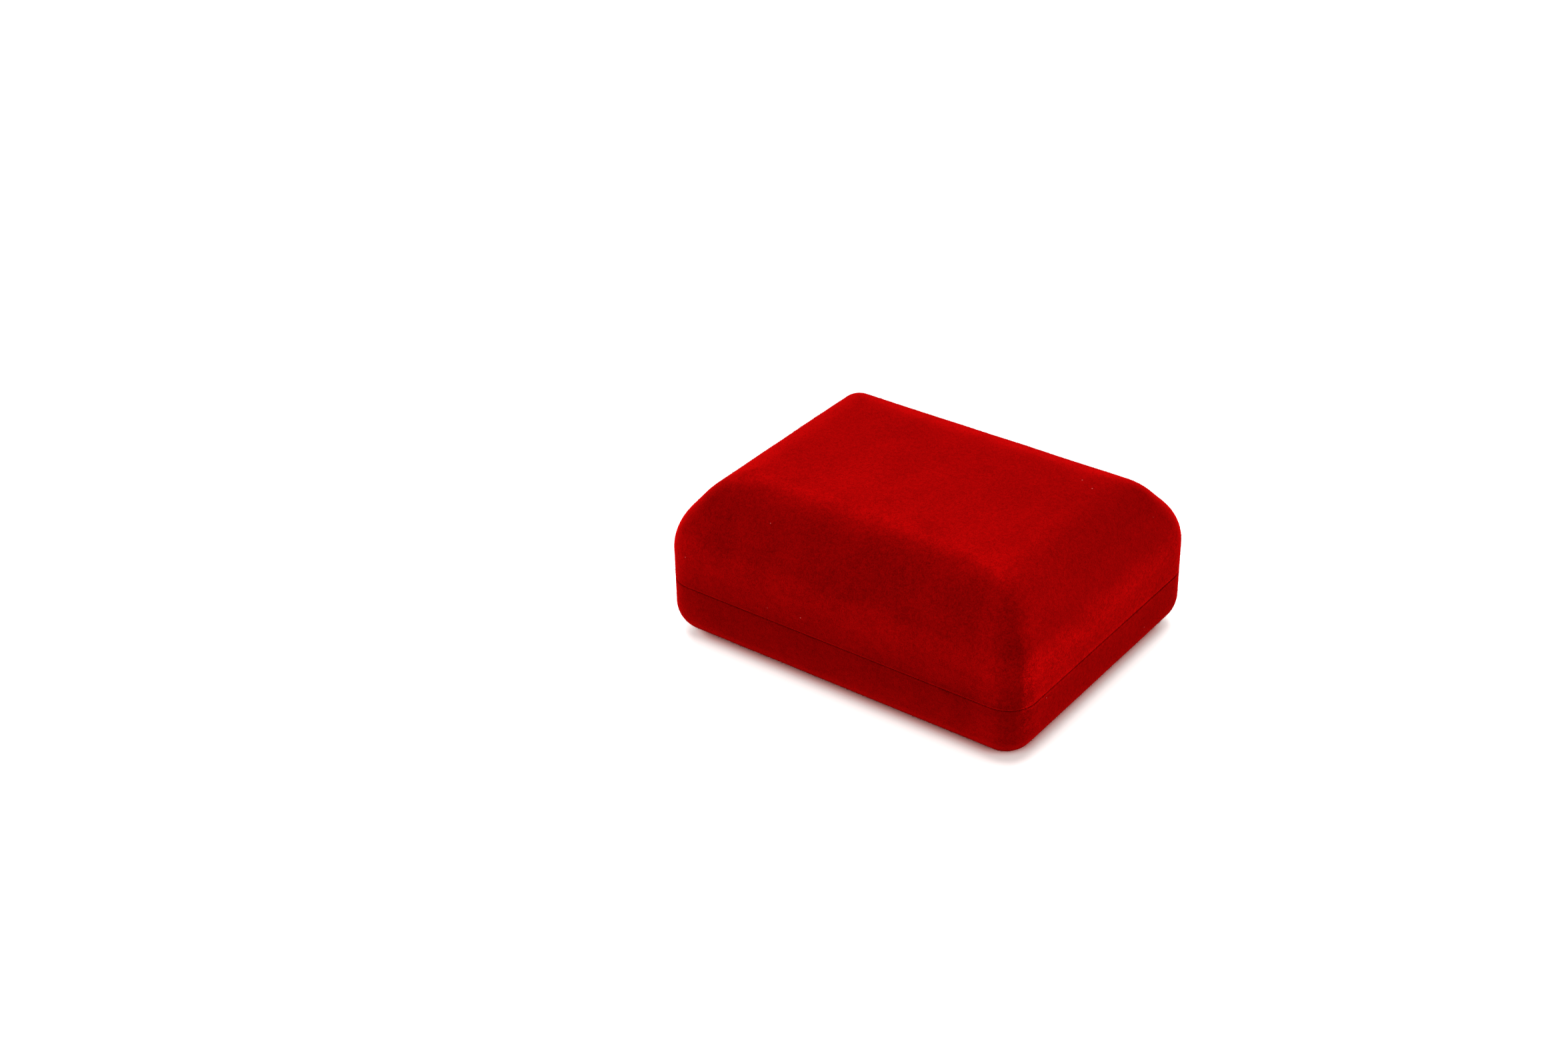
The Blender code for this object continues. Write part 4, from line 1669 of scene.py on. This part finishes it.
    def skirt_lift(self, at: Vector, normal: Vector) -> float:
        """How far the skirt's satin eases off its card, in faint upright ripples.

        Args:
            at: The place.
            normal: The way it faces.

        Returns:
            The distance.
        """
        if at.x * normal.x + at.y * normal.y >= 0:
            return 0.0
        middle, half = (self.skirt_low + self.skirt_high) / 2, (self.skirt_high - self.skirt_low) / 2
        share = max(0.0, 1 - abs(at.z - middle) / half)
        stretched = Vector((at.x / self.ripple_width, at.y / self.ripple_width, at.z / self.ripple_height))
        return noise.noise(stretched) * self.ripple * share

    def build(self) -> None:
        """Makes the skirt, the cushion and its foam."""
        self.hand_in(self.skirt(), Slot.SATIN, Body.LID, "lid_skirt")
        cushion = self.hand_in(self.cushion(), Slot.SATIN, Body.LID, "lid_pad_cover")
        sponge = self.hand_in(self.sponge(), Slot.FOAM, Body.LID, "lid_pad_foam")


# The hinge


def turned(profile: Path, place: Point, direction: Point) -> Mesh:
    """A turned piece.

    Args:
        profile: Points of radius and distance along its axis, from one end to the other.
        place: Where the axis starts.
        direction: The way it points.

    Returns:
        The mesh.
    """
    bm = bmesh.new()
    verts = [bm.verts.new((radius, 0.0, along)) for radius, along in profile]
    edges = [bm.edges.new(pair) for pair in zip(verts, verts[1:])]
    full = {"cent": (0, 0, 0), "axis": (0, 0, 1), "angle": 2 * math.pi, "steps": 24, "use_merge": True}
    bmesh.ops.spin(bm, geom=verts + edges, **full)
    bmesh.ops.remove_doubles(bm, verts=bm.verts, dist=10 * MERGE)
    turn = Vector((0, 0, 1)).rotation_difference(Vector(direction)).to_matrix().to_4x4()
    bmesh.ops.transform(bm, verts=bm.verts, matrix=Matrix.Translation(place) @ turn)
    return bm


def quarter_turn(steps: int) -> list[float]:
    """The angles of a quarter turn, its ends included."""
    return [math.pi / 2 * step / steps for step in range(steps + 1)]


def strip(path: Sequence[Point], thickness: float, width: float, middle: float) -> Mesh:
    """Sheet metal bent along a path and wide along X.

    Args:
        path: Points of y and z along its middle.
        thickness: The sheet's thickness.
        width: Its width.
        middle: Where the middle of its width lies.

    Returns:
        The mesh.
    """
    points = [Vector(point) for point in path]
    bm = bmesh.new()
    rows: tuple[list[bmesh.types.BMVert], list[bmesh.types.BMVert]] = ([], [])
    for index, point in enumerate(points):
        before, after = points[max(index - 1, 0)], points[min(index + 1, len(points) - 1)]
        along = (after - before).normalized()
        lean = (point - before).normalized() if index else along
        square = Vector((-along.y, along.x)) * thickness / 2 / max(along.dot(lean), 0.5)
        for row, (y, z) in zip(rows, (point + square, point - square)):
            row.append(bm.verts.new((middle - width / 2, y, z)))
    faces = [bm.faces.new(quad) for quad in zip(rows[0], rows[0][1:], rows[1][1:], rows[1])]
    drawn_out(bm, faces, width)
    return bm


@dataclass(frozen=True)
class Hinge(Assembly):
    """The stamped hinge: two leaves curled round a pin, their rivets, and two over-centre clips."""

    leaf_thickness: float = 0.0004
    leaf_length: float = 0.0440
    knuckles: int = 5
    knuckle_gap: float = 0.0004
    wrap: float = 285.0
    curl_steps: int = 32
    notch_margin: float = 0.0004
    head_radius: float = 0.0009
    head_length: float = 0.0004
    head_steps: int = 6
    dome_steps: int = 8
    dome_share: float = 0.86
    rivet_head: float = 0.0011
    rivet_height: float = 0.0005
    rivet_shank: float = 0.0005
    rivet_depth: float = 0.0011
    rivet_hole: float = 0.002
    rivet_spacing: float = 0.0090
    rivets: int = 3
    clip_width: float = 0.0050
    clip_thickness: float = 0.0003
    clip_inset: float = 0.0045
    clip_bulge: float = 0.0030
    clip_bend: float = 0.0007
    clip_bow: float = 0.0016
    clip_bow_share: float = 0.55
    clip_step: float = 0.0004
    clip_blend: float = 0.0037
    keeper_height: float = 0.0008
    keeper_thickness: float = 0.0004
    keeper_bend: float = 0.00036
    keeper_room: float = 0.0008
    keeper_overhang: float = 0.0006
    keeper_post: float = 0.0006
    edge_round: float = 0.00005

    @property
    def room(self) -> float:
        """How far round the pin a knuckle and its clearance reach."""
        return self.form.pin_radius + self.form.running_gap + self.leaf_thickness + self.notch_margin

    @property
    def reach(self) -> float:
        """How far each leaf reaches from the pin."""
        return self.form.seam - self.form.foot - self.form.seat_gap

    @property
    def face(self) -> float:
        """The leaves' inner face."""
        return self.form.half_width - self.form.wall - self.form.seat_gap - self.leaf_thickness

    @property
    def clip_places(self) -> tuple[float, float]:
        """Where the clips lie along the hinge."""
        reach = self.leaf_length / 2 - self.clip_inset
        return -reach, reach

    def rivet_places(self, side: int) -> list[tuple[float, float]]:
        """Where the rivets of one leaf lie, as x and z."""
        z = self.form.seam + side * (self.room + self.reach) / 2
        return [((index - (self.rivets - 1) / 2) * self.rivet_spacing, z) for index in range(self.rivets)]

    def round_edges(self, made: Object, angle: float) -> Object:
        """Takes the burr off a pressed piece's edges.

        Args:
            made: The piece.
            angle: The least angle of an edge that is rounded, in degrees.

        Returns:
            The piece.
        """
        limit = math.radians(angle)
        modify(made, "BEVEL", width=self.edge_round, segments=2, limit_method="ANGLE", angle_limit=limit)
        apply_modifiers(made)
        smooth(made, 35)
        return made

    def leaf(self, name: str, side: int) -> Object:
        """One leaf: a plate whose edge curls round the pin in knuckles, with a keeper for each clip.

        Args:
            name: The leaf's name.
            side: -1 for the base's, +1 for the lid's.

        Returns:
            The leaf's object.
        """
        form = self.form
        radius = form.pin_radius + form.running_gap + self.leaf_thickness / 2
        curl = arc((form.pin_y, form.seam), radius, math.pi, side * math.radians(self.wrap), self.curl_steps)
        path = [(form.pin_y - radius, form.seam + side * self.reach)] + curl
        made = to_object(name, strip(path, self.leaf_thickness, self.leaf_length, 0.0))
        pitch = self.leaf_length / self.knuckles
        half = (pitch + self.knuckle_gap) / 2
        tools = []
        for index in range(self.knuckles):
            if (index % 2 == 0) != (side < 0):
                x = (index - (self.knuckles - 1) / 2) * pitch
                low = (x - half, form.pin_y - self.room, form.seam - self.room)
                tools.append(block(low, (x + half, form.pin_y + self.room, form.seam + self.room)))
        hole = self.rivet_shank + form.running_gap
        profile = [(0.0, 0.0), (hole, 0.0), (hole, self.rivet_hole), (0.0, self.rivet_hole)]
        for x, z in self.rivet_places(side):
            tools.append(turned(profile, (x, self.face - form.seat_gap, z), (0, 1, 0)))
        carve(made, tools)
        carve(made, self.keepers(side), Boolean.JOIN)
        return self.round_edges(made, 40)

    def keeper_span(self, side: int) -> tuple[float, float, float, float]:
        """Where a keeper's bar lies.

        Args:
            side: -1 for the base's, +1 for the lid's.

        Returns:
            Its inner and outer face, then its near and far edge from the pin.
        """
        outer = self.face - self.keeper_room
        far = self.form.seam + side * (self.reach - self.form.seat_gap)
        return outer - self.keeper_thickness, outer, far - side * self.keeper_height, far

    def keepers(self, side: int) -> list[Mesh]:
        """The straps of a leaf that its clips hook round.

        Args:
            side: -1 for the base's, +1 for the lid's.

        Returns:
            The straps.
        """
        inner, outer, near, far = self.keeper_span(side)
        foot, middle = self.face + self.leaf_thickness / 2, (inner + outer) / 2
        half = self.clip_width / 2 + self.keeper_overhang + self.keeper_post - self.keeper_thickness / 2
        turn = Matrix(((0, 1, 0, 0), (0, 0, 1, 0), (1, 0, 0, (near + far) / 2), (0, 0, 0, 1)))
        straps = []
        for x in self.clip_places:
            corners = [(x - half, foot), (x - half, middle), (x + half, middle), (x + half, foot)]
            path = rounded_path(corners, [self.keeper_bend] * 2, 5)
            strap = strip(path, self.keeper_thickness, self.keeper_height, 0.0)
            bmesh.ops.transform(strap, verts=strap.verts, matrix=turn)
            straps.append(strap)
        return straps

    def rivet(self, name: str, x: float, z: float) -> Object:
        """A rivet with a low domed head.

        Args:
            name: Its name.
            x: Where it lies along the hinge.
            z: Its height.

        Returns:
            The rivet's object.
        """
        form = self.form
        head, height, shank = self.rivet_head, self.rivet_height, self.rivet_shank
        end = height + form.running_gap + self.leaf_thickness + form.seat_gap + self.rivet_depth
        dome, turns = height * self.dome_share, quarter_turn(self.dome_steps)
        profile = [(head * math.sin(turn), dome * (1 - math.cos(turn))) for turn in turns]
        profile += [(head, height), (shank, height), (shank, end), (0.0, end)]
        return to_object(name, turned(profile, (x, self.face - form.running_gap - height, z), (0, 1, 0)))

    def pin(self) -> Object:
        """The hinge's pin, peened over to a low dome at both ends.

        Returns:
            The pin's object.
        """
        form = self.form
        body = self.leaf_length / 2 + form.running_gap
        head, dome = self.head_radius, self.head_length
        turns = quarter_turn(self.head_steps)
        peened = [(head * math.sin(turn), body + dome * math.cos(turn)) for turn in turns]
        profile = [(radius, -along) for radius, along in peened]
        profile += [(form.pin_radius, -body), (form.pin_radius, body)] + peened[::-1]
        return to_object("hinge_pin_turned", turned(profile, (0, form.pin_y, form.seam), (1, 0, 0)))

    def clip(self, name: str, x: float) -> Object:
        """A spring strip, hooked round a keeper of each leaf and bowed in past the pin.

        Args:
            name: Its name.
            x: Where it lies along the hinge.

        Returns:
            The clip's object.
        """
        seam = self.form.seam
        inner, outer, _, far = self.keeper_span(1)
        slack = (self.keeper_room - self.clip_thickness) / 2
        under, over = outer + slack + self.clip_thickness / 2, inner - slack - self.clip_thickness / 2
        turn = far + slack + self.clip_thickness / 2 - seam
        shoulder = turn - self.keeper_height - 3 * slack
        bow = (under - self.clip_bulge, shoulder * self.clip_bow_share)
        upper = [(over, turn - self.keeper_height), (over, turn), (under, turn), (under, shoulder), bow]
        corners = [(y, seam - z) for y, z in upper] + [(y, seam + z) for y, z in upper[::-1]]
        radii = [(under - over) / 2, (under - over) / 2, self.clip_bend, self.clip_bow]
        path = divided(rounded_path(corners, radii + radii[::-1], 8), self.clip_step)
        return self.round_edges(to_object(name, strip(path, self.clip_thickness, self.clip_width, x)), 50)

    def build(self) -> None:
        """Makes the leaves, the pin, the rivets and the clips."""
        self.hand_in(self.leaf("base_leaf_plate", -1), Slot.BRASS, Body.BASE, "hinge_base_leaf")
        self.hand_in(self.leaf("lid_leaf_plate", 1), Slot.BRASS, Body.LID, "hinge_lid_leaf")
        self.hand_in(self.pin(), Slot.SPRING, Body.BASE, "hinge_pin")
        for body, side in ((Body.BASE, -1), (Body.LID, 1)):
            for index, (x, z) in enumerate(self.rivet_places(side), start=1):
                made = self.rivet(f"{body.value}_rivet_dome_{index}", x, z)
                self.hand_in(made, Slot.BRASS, body, f"{body.value}_rivet_{index}")
        for side, x in zip(("left", "right"), self.clip_places):
            made = self.clip(f"clip_strip_{side}", x)
            self.hand_in(made, Slot.SPRING, None, f"hinge_clip_{side}")
            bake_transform(made)


# The studio


def outward(azimuth: float, elevation: float) -> Vector:
    """The way from the box to a camera or light, from its azimuth and elevation in degrees."""
    turn, rise = math.radians(azimuth), math.radians(elevation)
    return Vector((math.sin(turn) * math.cos(rise), -math.cos(turn) * math.cos(rise), math.sin(rise)))


def hang(name: str, data: Any) -> Object:
    """Puts a camera or a light into the scene.

    Args:
        name: Its name.
        data: The camera or the light.

    Returns:
        Its object.
    """
    made = bpy.data.objects.new(name, data)
    bpy.context.scene.collection.objects.link(made)
    return made


AIM = (0.0, 0.0, 0.020)


@dataclass(frozen=True)
class View:
    """The photograph's camera: where it stands about the box, and where the box falls in the frame."""

    azimuth: float = 37.793
    elevation: float = 31.147
    roll: float = -1.620
    distance: float = 0.4713
    focal: float = 3491.9
    across: float = 1390.49
    down: float = 810.91
    frame_width: int = 2352
    frame_height: int = 1568
    sensor: float = 36.0
    clip: Reach = (0.01, 20.0)

    def build(self) -> None:
        """Makes the camera and makes it the scene's."""
        turn, lean = math.radians(self.azimuth), math.radians(self.roll)
        right, back = Vector((math.cos(turn), math.sin(turn), 0.0)), outward(self.azimuth, self.elevation)
        up = back.cross(right)
        rolled_right = math.cos(lean) * right + math.sin(lean) * up
        rolled_up = math.cos(lean) * up - math.sin(lean) * right
        aside = (self.across - self.frame_width / 2) / self.focal * self.distance
        below = (self.down - self.frame_height / 2) / self.focal * self.distance
        data = bpy.data.cameras.new("photo_camera")
        data.sensor_width = self.sensor
        data.lens = self.focal / self.frame_width * self.sensor
        data.clip_start, data.clip_end = self.clip
        camera = hang("photo_camera", data)
        axes = Matrix((rolled_right, rolled_up, back)).transposed()
        place = Vector(AIM) - rolled_right * aside + rolled_up * below + back * self.distance
        camera.matrix_world = Matrix.Translation(place) @ axes.to_4x4()
        bpy.context.scene.camera = camera


class Softbox(NamedTuple):
    """One soft light, aimed at the box."""

    name: str
    azimuth: float
    elevation: float
    distance: float
    size: float
    watts: float

    def build(self) -> None:
        """Hangs the light."""
        data = bpy.data.lights.new(self.name, "AREA")
        data.shape = "DISK"
        data.size = self.size
        data.energy = self.watts
        made = hang(self.name, data)
        back = outward(self.azimuth, self.elevation)
        made.location = Vector(AIM) + back * self.distance
        made.rotation_mode = "QUATERNION"
        made.rotation_quaternion = (-back).to_track_quat("-Z", "Y")


@dataclass(frozen=True)
class Studio:
    """A white sweep under soft light, lit warmly from below too, with the photograph's camera."""

    footprint: Reach
    view: View = View()
    softboxes: tuple[Softbox, ...] = (
        Softbox("overhead", 0.0, 88.0, 1.1, 0.9, 10.3),
        Softbox("behind", 180.0, 50.0, 1.2, 0.8, 4.7),
        Softbox("behind_left", -130.0, 40.0, 1.2, 0.7, 8.9),
        Softbox("front_fill", 0.0, 30.0, 1.2, 0.7, 3.2),
    )
    sky: float = 0.40
    floor_size: float = 6.0
    paper: float = 0.90
    tooth: float = 0.0006
    tooth_shade: float = 0.985
    # Painted contact shadow and red bounce light: the paper's colour close to the box, and the glow's colours
    # and reaches.
    red_contact_shade: Colour = (0.88, 0.50, 0.46)
    glow: Colour = (0.67, 0.50, 0.47)
    near_bounce_glow: Colour = (1.0, 0.84, 0.80)
    red_bounce_glow: Colour = (1.0, 0.10, 0.06)
    glow_strength: float = 0.42
    contact_shadow_edge: Reach = (0.0020, 0.0052)
    red_bounce_reach: Reach = (0.0020, 0.0060)
    glow_reach: Reach = (0.0080, 0.0150)
    contact_corner: float = 0.0030

    def build(self) -> None:
        """Makes the floor, the sky, the lights and the camera."""
        bm = bmesh.new()
        bmesh.ops.create_grid(bm, x_segments=2, y_segments=2, size=self.floor_size / 2)
        floor = to_object("floor", bm)
        floor.data.materials.append(self.paper_material())
        world = bpy.data.worlds.new("studio")
        world.use_nodes = True
        background = world.node_tree.nodes["Background"]
        background.inputs["Color"].default_value = (1.0, 1.0, 1.0, 1.0)
        background.inputs["Strength"].default_value = self.sky
        scene = bpy.context.scene
        scene.world = world
        for softbox in self.softboxes:
            softbox.build()
        self.view.build()
        scene.view_settings.view_transform = "Standard"
        scene.view_settings.look = "None"
        scene.view_settings.exposure = 0.0
        scene.view_settings.gamma = 1.0

    def paper_material(self) -> Material:
        """Matt white paper with a trace of tooth, and a glow that is painted light. Close to the box the glow
        fails and the paper darkens and reddens: a painted contact shadow with painted red light bounced from
        the flock.

        Returns:
            The material.
        """
        graph = Graph("studio_paper")
        beyond = [
            graph.sum("MAXIMUM", graph.size(axis) - half + self.contact_corner, 0.0)
            for axis, half in zip(graph.axes(), self.footprint)
        ]
        out = graph.sum("SQRT", beyond[0] ** 2.0 + beyond[1] ** 2.0) - self.contact_corner
        # Painted contact shadow: the glow fails and the paper darkens close to the footprint.
        beyond_contact_shadow = graph.span(out, *self.contact_shadow_edge)
        # Painted red bounce light from the flock, strongest next to the box.
        lit = graph.mix(graph.span(out, *self.red_bounce_reach), self.red_bounce_glow, self.near_bounce_glow)
        lit = graph.mix(graph.span(out, *self.glow_reach), lit, self.glow)
        white, soft = ((self.paper * shade,) * 3 for shade in (1.0, self.tooth_shade))
        plain = graph.mix(graph.noise(graph.place(), self.tooth, detail=3.0), white, soft)
        return graph.dress(
            Base_Color=graph.mix(beyond_contact_shadow, self.red_contact_shade, plain),
            Roughness=0.9,
            Specular_IOR_Level=0.2,
            Emission_Color=graph.mix(beyond_contact_shadow, (0.0, 0.0, 0.0), lit),
            Emission_Strength=self.glow_strength,
        )


def dress_boards(finishes: Finishes) -> None:
    """Gives the two card boards, which stay as the CAD has them, their finish.

    Args:
        finishes: The box's finishes.
    """
    for name in ("insert_board", "lid_pad_board"):
        finishes.dress(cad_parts[name], Slot.CARD)
        log.info("%s: dressed as %s", name, Slot.CARD.value)


def main() -> None:
    """Builds the box's sub-assemblies in order, then the studio."""
    logging.basicConfig(level=logging.INFO, format="%(name)s %(message)s")
    finishes = Finishes()
    form = BoxForm()
    room = HingeRoom(form)
    Shells(form, finishes).build()
    TrayLining(form, finishes, room).build()
    LidLining(form, finishes, room).build()
    Hinge(form, finishes).build()
    dress_boards(finishes)
    Studio(footprint=(form.half_length - form.foot, form.half_width - form.foot)).build()


if __name__ == "__main__":
    main()
